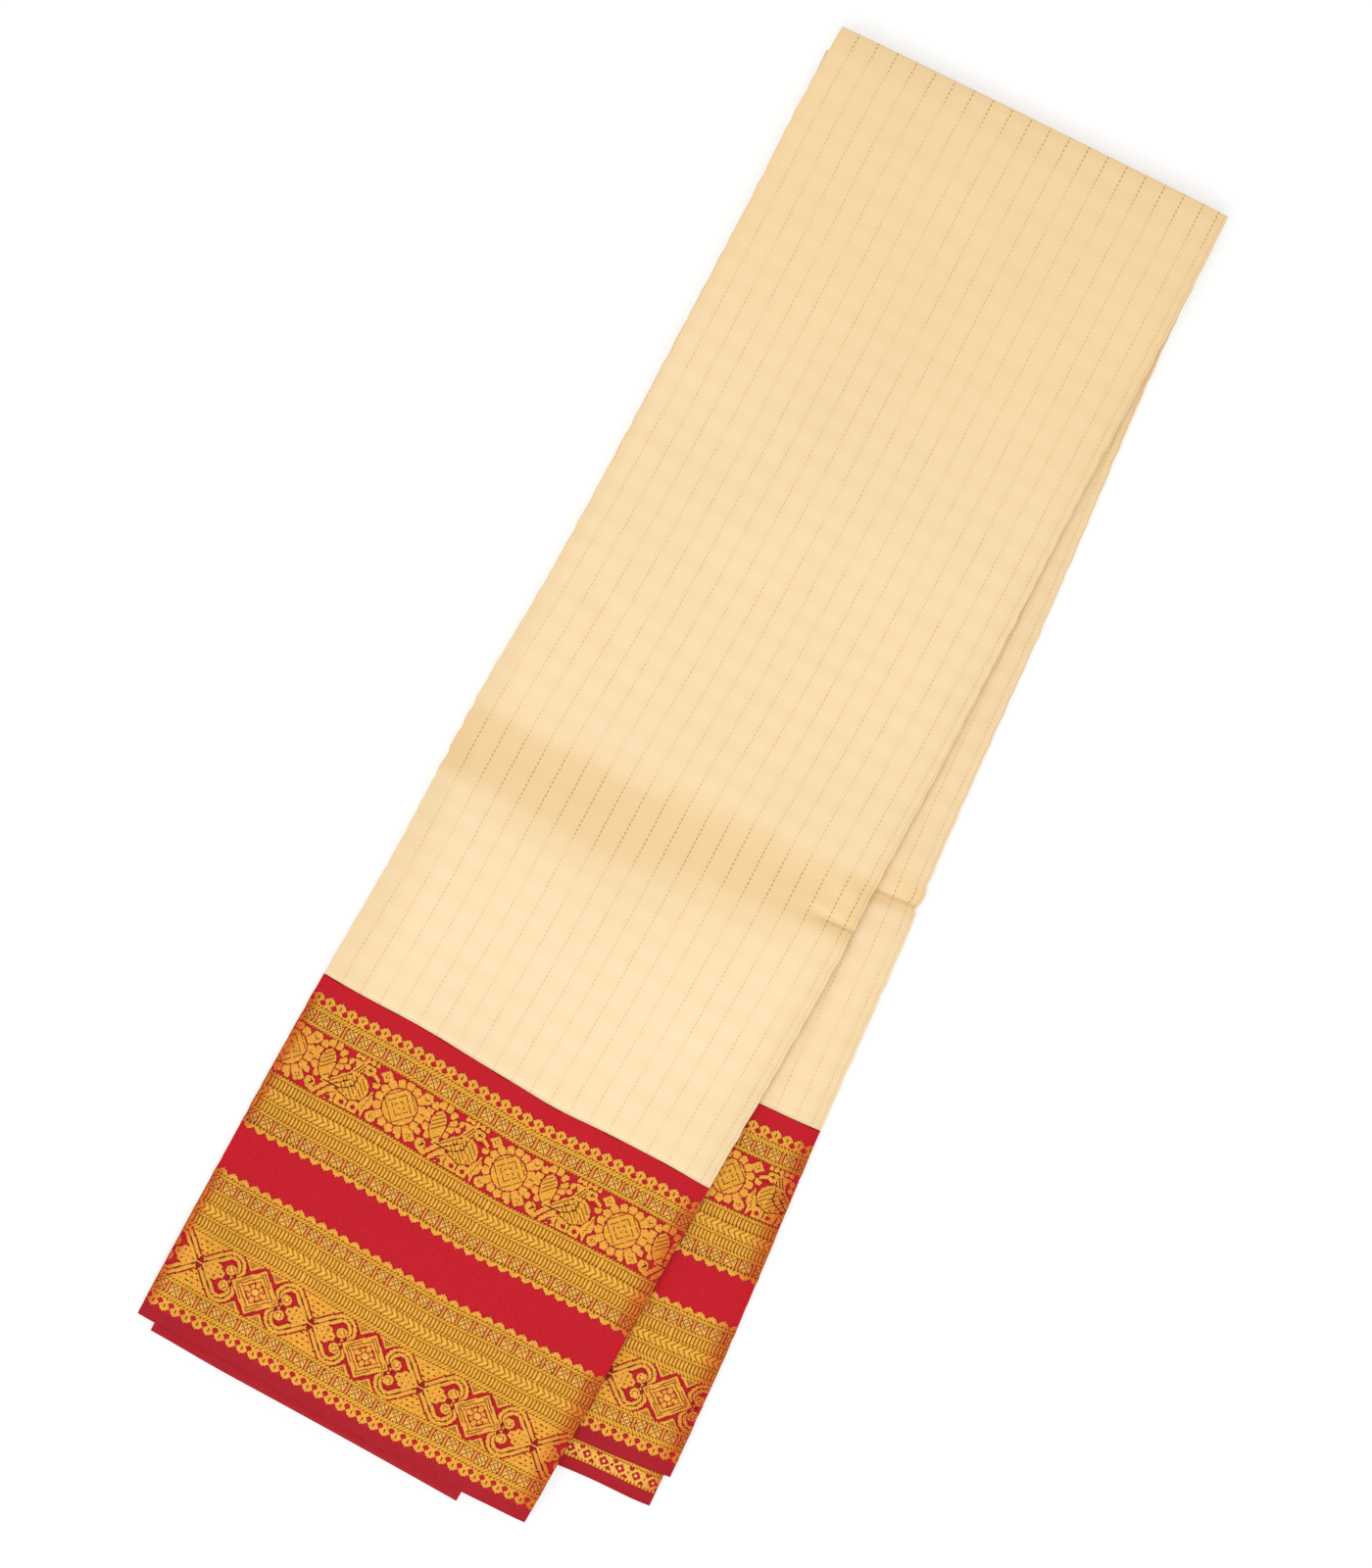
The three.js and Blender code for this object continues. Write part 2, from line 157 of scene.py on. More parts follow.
SIDE_CREASES = named_rows(CREASE_COLUMNS, [
    (0.93, 303.0, -8, 18, 2.0, 0.4),
    (0.90, 307.8, -8, 14, 2.0, -0.8),
    (0.93, 312.0, -5, 20, 2.6, 0.5),
    (0.93, 292, 3, 26, 7, 0.3),
    (0.90, 140, 60, 50, 8, -0.15),
    (0.86, 375, 80, 46, 7, 0.15),
    (0.90, 470, 12, 30, 7, -0.12),
])


# ------------------------------------------------------------------ plan and heights
def edge_curve(table, column):
    """A smooth curve through one column of an edge table, as a function of the way down."""
    down = np.array([row["down"] for row in table], float)
    value = np.array([row[column] for row in table], float)
    slope = np.diff(value) / np.diff(down)
    tangent = np.concatenate([[0.0], (slope[:-1] + slope[1:]) / 2, [0.0]])

    def at(place):
        place = np.clip(place, down[0], down[-1])
        k = np.clip(np.searchsorted(down, place, side="right") - 1, 0, len(down) - 2)
        span = down[k + 1] - down[k]
        t = (place - down[k]) / span
        t2, t3 = t * t, t * t * t
        start = (2 * t3 - 3 * t2 + 1) * value[k] + (t3 - 2 * t2 + t) * span * tangent[k]
        end = (3 * t2 - 2 * t3) * value[k + 1] + (t3 - t2) * span * tangent[k + 1]
        return start + end

    return at


def smoothstep(value, low, high):
    t = np.clip((value - low) / (high - low), 0, 1)
    return t * t * (3 - 2 * t)


def bell(distance, reach):
    return np.exp(-((distance / reach) ** 2))


def fall(amount_reach, distance):
    amount, reach = amount_reach
    return amount * np.clip(1 - distance / reach, 0, 1) ** FALL_POWER


def swell(x, y):
    return sum(amount * np.sin(a * x + b * y + phase) for amount, a, b, phase in SWELLS)


class Bundle:
    """One folded bundle: its plan, its thickness and what it lies on."""

    def __init__(self, edges, lines, bumps, shape, turn, creases, below=None):
        self.left = edge_curve(edges, "left")
        self.right = edge_curve(edges, "right")
        self.lines = lines
        self.bumps = bumps
        self.shape = shape
        self.cos, self.sin = math.cos(turn), math.sin(turn)
        self.creases = creases
        self.below = below

    def line(self, name, across):
        """How far down a line lies, at a share of the way across."""
        left, right, sag = self.lines[name]
        level = left + (right - left) * across + sag * np.sin(np.pi * np.clip(across, 0, 1))
        for place, reach, amount in self.bumps.get(name, []):
            level = level + amount * bell(across - place, reach)
        return level

    def to_model(self, x, down):
        return x * self.cos + down * self.sin, x * self.sin - down * self.cos

    def from_model(self, x, y):
        return x * self.cos + y * self.sin, x * self.sin - y * self.cos

    def x_at(self, across, down):
        """Sideways place. Both side folds are a little uneven, as the check draws them in."""
        left, right = self.left(down) + CURL_RADIUS, self.right(down) - CURL_RADIUS
        uneven = {"left": self.frill(down, 0.0), "right": self.frill(down, 2.6)}
        for edge, place, reach, amount in self.shape["nicks"]:
            uneven[edge] = uneven[edge] + amount * bell(down - place, reach)
        near_left, near_right = bell(across, EDGE_REACH), bell(1 - across, EDGE_REACH)
        shift = uneven["left"] * near_left + uneven["right"] * near_right
        return left + (right - left) * across + shift

    def frill(self, down, phase):
        """Small waves of a side fold, nearly none beside the stiffer border."""
        rows = 0.11 * np.sin(2 * np.pi * down / CHECK_ROWS + phase)
        fine = 0.10 * np.sin(down / 2.7 + 3 * phase) + 0.08 * np.sin(down / 1.3 + phase)
        join = self.lines["join"][0]
        return (rows + fine) * smoothstep(down, 4, 20) * (1 - 0.7 * smoothstep(down, join - 6, join))

    def height(self, x, down):
        shape = self.shape
        left, right = self.left(down), self.right(down)
        across = np.clip((x - left) / (right - left), 0, 1)
        crest = self.line("crest", across)
        least, more = shape["rise"]
        ridge = smoothstep(down, shape["valley"], crest)
        ridge = ridge - smoothstep(down, crest, crest + shape["back"])
        deep, reach = shape["trough"]
        return (
            BUNDLE_HEIGHT
            + swell(*self.to_model(x, down))
            - fall(shape["right_fall"], right - x)
            - fall(shape["left_fall"], x - left)
            - fall(shape["fold_fall"], down - self.line("fold", across))
            - fall(shape["hem_fall"], self.line("hem", across) - down)
            + (least + more * np.sin(np.pi * across)) * ridge
            - deep * bell(down - self.line("crease", across), reach)
        )

    def support(self, x, y):
        """Height of the surface that the bundle lies on: the floor, or the bundle below."""
        if self.below is None:
            return np.zeros_like(x)
        other = self.below
        ox, down = other.from_model(x, y)
        left, right = other.left(down), other.right(down)
        across = np.clip((ox - left) / (right - left), 0, 1)
        beside = np.maximum(np.maximum(left - ox, ox - right), 0)
        past = np.maximum(other.line("fold", across) - down, down - other.line("inner_hem", across))
        outside = np.hypot(beside, np.maximum(past, 0))
        return (BUNDLE_HEIGHT + swell(x, y) + AIR) * (1 - smoothstep(outside, *DROOP))

    def hem_drop(self, across, down, height):
        hem = self.line("hem", across)
        passed = np.clip((down - hem) / (self.line("inner_hem", across) - hem), 0, 1)
        room = HEM_SHARE * (height - LEAF_STEP - WALL)
        return np.minimum(self.shape["hem_drop"], room) * passed ** 1.5

    def fine_creases(self, across, down):
        total = np.zeros(np.broadcast(across, down).shape)
        for crease in self.creases:
            angle = math.radians(crease["turn"])
            dx = (across - crease["across"]) * STRIP_WIDTH
            dy = down - crease["down"]
            along = dx * math.cos(angle) + dy * math.sin(angle)
            aside = dy * math.cos(angle) - dx * math.sin(angle)
            aside = aside - crease.get("bow", 0) * (along / crease["length"]) ** 2
            total += crease["rise"] * bell(along, crease["length"]) * bell(aside, crease["width"])
        return total

    def cloth(self, across, down, depth=0.0):
        """Points of a leaf, in millimetres from the corner, as three arrays."""
        x = self.x_at(across, down)
        mx, my = self.to_model(x, down)
        height = self.height(x, down)
        top = self.support(mx, my) + height + self.fine_creases(across, down)
        if depth:
            # The leaves below lie clear of the crease, which is finer than their own grids.
            away = down - self.line("crease", across)
            depth = depth + self.shape["clear"] * bell(away, CLEAR_REACH)
        return mx, my, top - depth - self.hem_drop(across, down, height)


side = Bundle(SIDE_EDGES, SIDE_LINES, SIDE_BUMPS, SIDE_SHAPE, FAN_TURN, SIDE_CREASES)
front = Bundle(FRONT_EDGES, FRONT_LINES, FRONT_BUMPS, FRONT_SHAPE, 0.0, FRONT_CREASES, below=side)

# ------------------------------------------------------------------ the borders' bands
CELL = 0.52                          # one thread float of the brocade, each way
REPEAT = 100                         # cells in one repeat of the figures: 52 mm
PLAIN_ROWS = 4                       # plain red needs only coarse rows, of about four cells
FIRST_ROW = 858 * CELL               # the border's first row, along the cloth's own map
BROAD_BANDS = [                      # join to hem: kind, and rows of cells
    ("join", 1), ("plain", 12), ("edging_up", 10), ("rope", 5), ("blocks", 8), ("rope", 4),
    ("figures", 45), ("rope", 4), ("bars", 6), ("rope", 2), ("herringbone", 8), ("rope", 4),
    ("bars", 6), ("rope", 4), ("blocks", 8), ("rope", 2), ("temple_down", 5), ("plain", 35),
    ("temple_up", 5), ("rope", 4), ("blocks", 8), ("rope", 4), ("bars", 6), ("rope", 3),
    ("herringbone", 8), ("rope", 4), ("bars", 6), ("rope", 5), ("hooks", 41), ("rope", 4),
    ("blocks", 8), ("rope", 5), ("edging_down", 10), ("selvage", 11),
]
FRONT_NARROW = [("plain", 78), ("selvage", 25)]
SIDE_NARROW = [("plain", 86), ("rope", 4), ("lozenges", 10), ("bars_line", 2), ("selvage", 10)]
# Where the charts lie across the strip, in cells; the side bundle's cloth shows them mirrored.
FRONT_PHASES = {"figures": 19, "hooks": 23}
SIDE_PHASES = {"figures": 76, "hooks": 68}

# What each kind of thread shows: gold, warmth of the gold, darkness and paleness.
# On red, paleness stands for the darker red of the selvage.
THREADS = {
    "red": (0.0, 0.0, 0.0, 0.0),
    "selvage": (0.0, 0.0, 0.0, 0.5),
    "shade": (0.0, 0.0, 0.45, 0.0),
    "gold": (1.0, 1.0, 0.0, 0.0),
    "bright": (1.0, 0.9, 0.0, 0.25),
    "inner": (1.0, 0.75, 0.0, 0.0),
    "yellow": (1.0, 0.1, 0.0, 0.0),
    "dull": (1.0, 0.1, 0.5, 0.0),
    "dark": (0.2, 0.6, 0.9, 0.0),
    "orange": (0.9, 1.0, 0.15, 0.0),
    "pale": (1.0, 0.4, 0.0, 0.8),
    "olive": (0.8, 0.0, 0.75, 0.0),
}
THREAD_NAMES = list(THREADS)
CODE = {name: k for k, name in enumerate(THREAD_NAMES)}
KEY = {".": "red", "g": "gold", "b": "bright", "d": "dark"}


def path_distance(x, y, points):
    """Distance from each cell to a line through points."""
    nearest = np.full(x.shape, 1e9)
    for (ax, ay), (bx, by) in zip(points, points[1:]):
        span = max((bx - ax) ** 2 + (by - ay) ** 2, 1e-9)
        t = np.clip(((x - ax) * (bx - ax) + (y - ay) * (by - ay)) / span, 0, 1)
        nearest = np.minimum(nearest, np.hypot(x - ax - t * (bx - ax), y - ay - t * (by - ay)))
    return nearest


class Chart:
    """A woven chart: one thread for each cell, drawn with plain shapes in millimetres.

    x runs across the repeat and wraps round; y runs down the band from its middle.
    """

    def __init__(self, rows, ground="red"):
        self.width = REPEAT * CELL
        self.x, self.y = np.meshgrid(
            (np.arange(REPEAT) + 0.5) * CELL, (np.arange(rows) + 0.5 - rows / 2) * CELL
        )
        self.code = np.full((rows, REPEAT), CODE[ground])
        self.half = rows * CELL / 2
        self.chequer = np.indices(self.code.shape).sum(0) % 2 == 0

    def local(self, cx, cy, turn=0.0):
        dx = (self.x - cx + self.width / 2) % self.width - self.width / 2
        dy = self.y - cy
        c, s = math.cos(math.radians(turn)), math.sin(math.radians(turn))
        return dx * c + dy * s, dy * c - dx * s

    def paint(self, mask, thread):
        self.code[mask] = CODE[thread]

    def ellipse(self, cx, cy, a, b, turn=0.0, thread="gold", dots=None):
        """An oval, with dotted slanting lines inside where dots gives their pitch and angle."""
        dx, dy = self.local(cx, cy, turn)
        inside = (dx / a) ** 2 + (dy / b) ** 2
        self.paint(inside < 1, thread)
        if dots:
            pitch, angle = dots
            lines = np.abs((self.local(cx, cy, angle)[1] / pitch) % 1 - 0.5) < 0.2
            self.paint((inside < 0.8) & lines & self.chequer, "dark")

    def disc(self, cx, cy, radius, thread="gold"):
        self.ellipse(cx, cy, radius, radius, 0, thread)

    def discs(self, places, radius, thread="gold"):
        for x, y in places:
            self.disc(x, y, radius, thread)

    def distance(self, points):
        x0, y0 = points[0]
        return path_distance(*self.local(x0, y0), [(x - x0, y - y0) for x, y in points])

    def stroke(self, points, width, thread="gold"):
        self.paint(self.distance(points) < width / 2, thread)

    def strokes(self, lines, width, thread="gold"):
        for points in lines:
            self.stroke(points, width, thread)

    def patch(self, points, thread="gold"):
        """A filled outline, its points in order."""
        x0, y0 = points[0]
        px, py = self.local(x0, y0)
        inside = np.zeros(px.shape, bool)
        for (ax, ay), (bx, by) in zip(points, points[1:] + points[:1]):
            ax, ay, bx, by = ax - x0, ay - y0, bx - x0, by - y0
            crosses = (ay > py) != (by > py)
            inside ^= crosses & (px < ax + (py - ay) * (bx - ax) / (by - ay + 1e-9))
        self.paint(inside, thread)

    def shade_edges(self):
        """Red cells beside gold ones sit in the shade of the raised gold."""
        gold = np.isin(self.code, [CODE[n] for n in ("gold", "bright", "inner", "orange")])
        near = np.roll(gold, 1, axis=1) | np.roll(gold, -1, axis=1)
        near[1:] |= gold[:-1]
        near[:-1] |= gold[1:]
        self.paint((self.code == CODE["red"]) & near, "shade")


def wheel(chart, cx, cy):
    """A round lotus wheel: sixteen petals about a disc crossed by nested diamonds."""
    dx, dy = chart.local(cx, cy)
    r, angle = np.hypot(dx, dy), np.arctan2(dy, dx)
    lobe = np.abs(np.cos(angle * 8))
    chart.paint(r < 9.3 + 1.9 * lobe ** 0.5, "gold")
    chart.paint((r > 8.0) & (r < 11.0) & (lobe < 0.2), "shade")
    chart.paint(np.abs(r - 7.5) < 0.3, "shade")
    chart.paint(r < 7.2, "inner")
    nested = np.abs(((np.abs(dx) + np.abs(dy)) / 1.56) % 1 - 0.5) < 0.2
    chart.paint((r < 7.0) & nested & chart.chequer, "dark")
    chart.paint((np.abs(np.abs(dx) - np.abs(dy)) < 0.35) & (r < 6.8), "gold")


def floret(chart, cx, cy, radius):
    """A small round flower, dotted at its heart when it is large enough."""
    chart.disc(cx, cy, radius)
    if radius > 1.8:
        chart.discs([(cx - 0.7, cy), (cx + 0.7, cy), (cx, cy - 0.7), (cx, cy + 0.7)], 0.3, "dark")


def star(chart, cx, cy, a, b):
    """A diamond flower with four dots at its heart."""
    dx, dy = chart.local(cx, cy)
    chart.paint(np.abs(dx) / a + np.abs(dy) / b < 1, "gold")
    chart.discs([(cx - 0.8, cy), (cx + 0.8, cy), (cx, cy - 0.8), (cx, cy + 0.8)], 0.3, "dark")


def mango(chart):
    """A mango: a hatched kernel that leans, in a fringe of petals, on a curled stem."""
    petals = [
        (6.9, -10.0), (10.0, -10.1), (13.0, -8.7), (14.2, -5.8), (13.9, -3.0), (13.0, -0.2),
        (4.2, -8.3), (3.2, -5.4), (3.3, -2.4), (4.4, 0.7), (6.6, 3.2),
    ]
    chart.discs(petals, 1.65)
    for (ax, ay), (bx, by) in zip(petals[:6], petals[1:6]):
        middle = ((ax + bx) / 2, (ay + by) / 2)
        out = (middle[0] + 0.28 * (middle[0] - 8.6), middle[1] + 0.28 * (middle[1] + 2.0))
        chart.stroke([(8.6, -2.0), out], 0.5, "shade")
    for y in (-6.9, -3.9, -0.8):
        chart.stroke([(1.4, y), (6.0, y)], 0.5, "shade")
    chart.ellipse(8.7, -2.0, 3.7, 6.5, -11, "shade")
    chart.ellipse(8.7, -2.0, 3.2, 6.0, -11, "inner", dots=(1.6, -45))
    chart.patch([(9.4, 3.2), (12.0, 2.4), (12.6, 5.2), (9.6, 5.4)], "gold")
    chart.disc(5.8, 8.0, 2.3)
    chart.stroke([(5.8, 9.6), (8.6, 10.5), (12.4, 5.2)], 1.9)
    chart.stroke([(6.0, 8.6), (7.0, 7.4), (6.0, 6.9)], 0.55, "dark")
    chart.stroke([(11.6, 10.6), (15.4, 5.4)], 1.9)
    chart.stroke([(9.6, 10.9), (13.6, 5.4)], 0.5, "shade")


def peacock(chart):
    """A peacock that looks to the right, its wing raised, its plume swept down behind."""
    chart.patch([(17.0, -2.0), (11.8, 4.3), (18.0, 4.9), (20.4, 7.4), (23.0, -3.0)])
    chart.patch([(15.6, 6.2), (28.2, 6.4), (28.6, 11.2), (14.2, 11.2)])
    chart.ellipse(22.6, 1.5, 6.4, 5.8, 0, "inner", dots=(1.7, 38))
    chart.discs([(21.4, 9.3), (26.6, 9.1), (15.6, 10.2)], 1.0, "red")
    feathers = [
        [(10.5, 4.7), (17.8, 4.9)],
        [(12.6, 4.3), (17.6, -0.8), (20.6, -3.2)],
        [(22.4, -3.4), (22.6, 1.4), (20.0, 3.4), (17.4, 4.9)],
        [(19.2, 6.2), (23.4, 7.6), (27.4, 5.6)],
    ]
    chart.strokes(feathers, 0.5, "dark")
    chart.stroke([(14.6, 4.4), (20.4, -0.4)], 0.45, "dark")
    chart.patch([
        (18.0, -9.0), (24.4, -9.6), (26.0, -5.4), (24.2, -3.4), (21.4, -2.8), (18.8, -3.2),
        (19.8, -6.2),
    ])
    neck = [[(20.0 + 1.5 * k, -4.0), (22.4 + 1.2 * k, -8.8)] for k in range(4)]
    chart.strokes(neck, 0.4, "dark")
    chart.disc(25.8, -7.3, 2.3)
    chart.discs([(17.2, -7.4), (16.9, -4.6)], 1.2)
    chart.discs([(18.6 + 2.3 * k, -10.5) for k in range(5)], 1.0)
    chart.stroke([(23.8, -9.4), (27.6, -9.4)], 0.5, "dark")
    chart.stroke([(27.6, -6.8), (30.8, -5.2)], 1.3)
    chart.stroke([(22.8, -4.6), (26.6, -4.6), (30.2, -3.8)], 0.7, "shade")
    eye = [[(25.2, -7.3), (26.6, -7.3)], [(25.9, -8.0), (25.9, -6.6)]]
    chart.strokes(eye, 0.5, "dark")
    chart.patch([(29.2, -3.4), (32.4, -4.6), (31.8, -1.6), (29.8, -1.8)])
    legs = [[(17.6, 6.8), (18.4, 11.2)], [(23.6, 7.6), (24.0, 11.2)], [(16.4, 7.0), (15.0, 8.8)]]
    chart.strokes(legs, 0.45, "dark")


def leaf_spray(chart):
    """A curved, serrated leaf with a dotted midrib, in front of the peacock."""
    chart.patch([
        (30.8, -0.8), (31.6, 1.6), (32.9, 3.4), (32.6, 6.4), (31.2, 8.0), (31.0, 11.2), (29.6, 9.4),
        (28.0, 7.6), (28.4, 4.6), (29.8, 2.4),
    ])
    rib = chart.distance([(31.2, 1.6), (30.6, 4.4), (29.8, 8.0)])
    chart.paint((rib < 0.3) & chart.chequer, "dark")


def figures_chart(rows):
    chart = Chart(rows)
    mango(chart)
    peacock(chart)
    leaf_spray(chart)
    wheel(chart, 43.4, -0.2)
    floret(chart, 0.0, -9.0, 2.4)
    star(chart, 0.2, 8.0, 3.1, 2.9)
    floret(chart, 2.5, 4.2, 1.35)
    floret(chart, 48.4, 10.2, 1.2)
    star(chart, 33.2, -8.5, 3.1, 2.7)
    floret(chart, 34.7, 8.9, 2.3)
    chart.shade_edges()
    return chart.code


def hooks_chart(rows):
    """Stepped diamonds between pairs of scrolled hearts, all mirrored four ways."""
    chart = Chart(rows)
    half = 11.4
    x = np.abs((chart.x + chart.width / 2) % chart.width - chart.width / 2)
    y = np.abs(chart.y) * half / chart.half
    paint, chequer = chart.paint, chart.chequer

    # Gold above and below the crossing, in courses of dotted scales, and wedges by the diamond.
    scale = y > 2.4 + 1.02 * x
    paint(scale, "inner")
    courses = np.abs((y / 2.1) % 1 - 0.5) < 0.14
    courses &= np.abs((x / 2.6 + (y // 2.1) / 2) % 1 - 0.5) < 0.2
    paint(scale & (y > 3.6) & courses, "dark")
    wedge = y - np.abs(x - 20.3)
    paint(wedge > 7.2, "gold")
    paint((wedge > 8.6) & (y < half - 0.5) & chequer, "dark")

    # The scroll: a double band from the crossing, over the top and round into a curl.
    turns = np.radians(np.arange(140, -61, -12))
    scroll = [(0.4, 0.0)] + [(12.3 + 4.5 * math.cos(a), 5.3 + 4.5 * math.sin(a)) for a in turns]
    nearest = path_distance(x, y, scroll)
    paint(nearest < 2.5, "shade")
    paint(nearest < 1.75, "gold")
    paint(nearest < 0.26, "dark")
    eye = np.hypot(x - 13.1, y - 3.7)
    paint(eye < 2.7, "shade")
    paint(eye < 2.25, "gold")
    paint((np.abs(eye - 1.1) < 0.25) & chequer, "dark")
    paint((eye < 0.9) & (x < 13.4), "bright")
    paint((y < 0.27) & (x > 11.6) & (x < 14.4), "dark")

    # A flower inside each heart.
    paint(np.abs(x - 7.6) / 4.2 + y / 3.6 < 1.14, "shade")
    for bx, by in ((5.4, 0), (9.8, 0), (7.6, 2.0)):
        paint(np.hypot(x - bx, y - by) < 1.8, "gold")
        paint(np.hypot(x - bx, y - by) < 0.4, "dark")
    paint((x < 0.8) & (y < 2.6), "shade")
    paint((x < 1.0) & (y < 0.27), "gold")

    # The stepped diamond and the flower at its heart.
    d = np.abs(x - 26.0) / 12.0 + y / (half - 0.2)
    paint(d < 1.0, "shade")
    paint(d < 0.925, "gold")
    paint((np.abs(d - 0.79) < 0.03) & chequer, "dark")
    paint(np.abs(d - 0.66) < 0.025, "dark")
    paint(d < 0.50, "shade")
    paint(d < 0.43, "gold")
    r, angle = np.hypot(x - 26.0, y), np.arctan2(y, x - 26.0)
    paint((r > 2.0) & (d < 0.43) & (np.abs(np.cos(4 * angle)) < 0.3), "shade")
    paint(np.abs(r - 1.8) < 0.3, "shade")
    paint(r < 1.2, "bright")
    chart.shade_edges()
    return chart.code


def repeated(lines):
    """A small repeat charted row by row, and as often as it fits."""
    chart = Chart(len(lines))
    tile = np.array([[CODE[KEY[c]] for c in line] for line in lines])
    chart.code = np.tile(tile, (1, REPEAT // tile.shape[1]))
    chart.shade_edges()
    return chart.code


# Little standing flowers over crossed stems, ten to the repeat.
EDGING = repeated([
    "....b.....", "..bgggb...", ".ggggggg..", "bgggdgggb.", "ggggdgggg.", ".gggdggg..",
    "..ggggg...", "..ggggg...", ".ggggggg..", "gggg.ggggg",
])
# Scalloped temple points, ten to the repeat.
TEMPLE = repeated(["....b.....", "..bgggb...", ".ggggggg..", "ggggggggg.", "ggggdggggg"])


def blocks_chart(rows):
    """Square panels crossed by a dotted X, with upright bars between them."""
    code = np.full((rows, REPEAT), CODE["bright"])
    panels = 8
    starts = [round(REPEAT / panels * k) for k in range(panels + 1)]
    i = np.arange(rows)[:, None]
    for start, end in zip(starts, starts[1:]):
        j = np.arange(end - start - 4)[None, :]
        x, y = np.abs(j - (end - start - 5) / 2), np.abs(i - (rows - 1) / 2)
        crossed = (np.abs(x - y) < 0.6) | (np.abs(x + y - 3.5) < 0.6)
        code[:, start:end - 4][crossed & ((i + j) % 2 == 0)] = CODE["dark"]
        code[:, end - 4] = code[:, end - 1] = CODE["shade"]
        code[:, end - 3:end - 1] = CODE["orange"]
    return code


def rope_chart(rows):
    """A twisted cord: pale slanting floats on gold, with dark lines along its edges."""
    i, j = np.indices((rows, REPEAT))
    code = np.array([CODE["bright"], CODE["yellow"], CODE["dull"]])[(i + j) % 3]
    code[[0, -1]] = np.where(j[[0, -1]] % 3 == 0, CODE["yellow"], CODE["olive"])
    return code


def bars_chart(rows):
    """A ladder of short yellow bars."""
    code = np.full((rows, REPEAT), CODE["yellow"])
    code[:, ::3] = CODE["bright"]
    code[:, 2::3] = CODE["olive"]
    return code


def herringbone_chart(rows):
    """Chevrons that point to the right, in dotted lines."""
    i, j = np.indices((rows, REPEAT))
    step = (j + np.abs(i - (rows - 1) / 2).astype(int)) % 5
    names = ("olive", "yellow", "bright", "bright", "yellow")
    return np.array([CODE[name] for name in names])[step]


def lozenges_chart(rows):
    """The narrow border's band: red lozenges with pale hearts, between gold flowers."""
    chart = Chart(rows, ground="bright")
    lozenges = 7
    pitch = chart.width / lozenges
    for middle in (np.arange(lozenges) + 0.5) * pitch:
        dx, dy = chart.local(middle, 0)
        chart.paint(np.abs(dx) / 2.3 + np.abs(dy) / 2.0 < 1, "red")
        chart.disc(middle, 0, 0.6, "pale")
        between = middle + pitch / 2
        chart.discs([(between - 0.9, -2.4), (between + 0.9, 2.4)], 1.2, "red")
        chart.disc(between, 0, 0.4, "dark")
    chart.shade_edges()
    return chart.code


def join_chart(rows):
    """The red meets the cream in small steps."""
    step = (np.arange(REPEAT) // 17 * 7) % 3
    return np.where(step == 0, CODE["shade"], CODE["red"])[None, :].repeat(rows, 0)


CHARTS = {
    "join": join_chart,
    "edging_up": lambda rows: EDGING,
    "edging_down": lambda rows: EDGING[::-1],
    "rope": rope_chart,
    "blocks": blocks_chart,
    "figures": figures_chart,
    "bars": bars_chart,
    "bars_line": lambda rows: bars_chart(rows + 2)[1:-1],
    "herringbone": herringbone_chart,
    "temple_up": lambda rows: TEMPLE,
    "temple_down": lambda rows: TEMPLE[::-1],
    "hooks": hooks_chart,
    "lozenges": lozenges_chart,
}


def weave_bands(bands, phases, mirrored):
    """Row edges in millimetres from the first band, and each row's thread codes for one repeat."""
    edges, codes = [0.0], []
    for kind, size in bands:
        if kind in ("plain", "selvage"):
            count = max(1, round(size / PLAIN_ROWS))
            edges += [edges[-1] + CELL * size / count * (k + 1) for k in range(count)]
            codes += [np.full(REPEAT, CODE["red" if kind == "plain" else "selvage"])] * count
        else:
            chart = CHARTS[kind](size)
            if mirrored:
                chart = chart[:, ::-1]
            edges += [edges[-1] + CELL * (k + 1) for k in range(size)]
            codes += list(np.roll(chart, phases.get(kind, 0), axis=1))
    return np.array(edges), np.array(codes)


# ------------------------------------------------------------------ closed cloth from grids
def boundary_walk(rows, columns):
    """The grid's boundary points, once round: down the left, along the end, up the right, back."""
    walk = [(i, 0) for i in range(rows)]
    walk += [(rows - 1, j) for j in range(1, columns)]
    walk += [(i, columns - 1) for i in range(rows - 2, -1, -1)]
    walk += [(0, j) for j in range(columns - 2, 0, -1)]
    return walk


def spread(count, step):
    """Every step-th index, and always the last."""
    return list(range(0, count - 1, step)) + [count - 1]


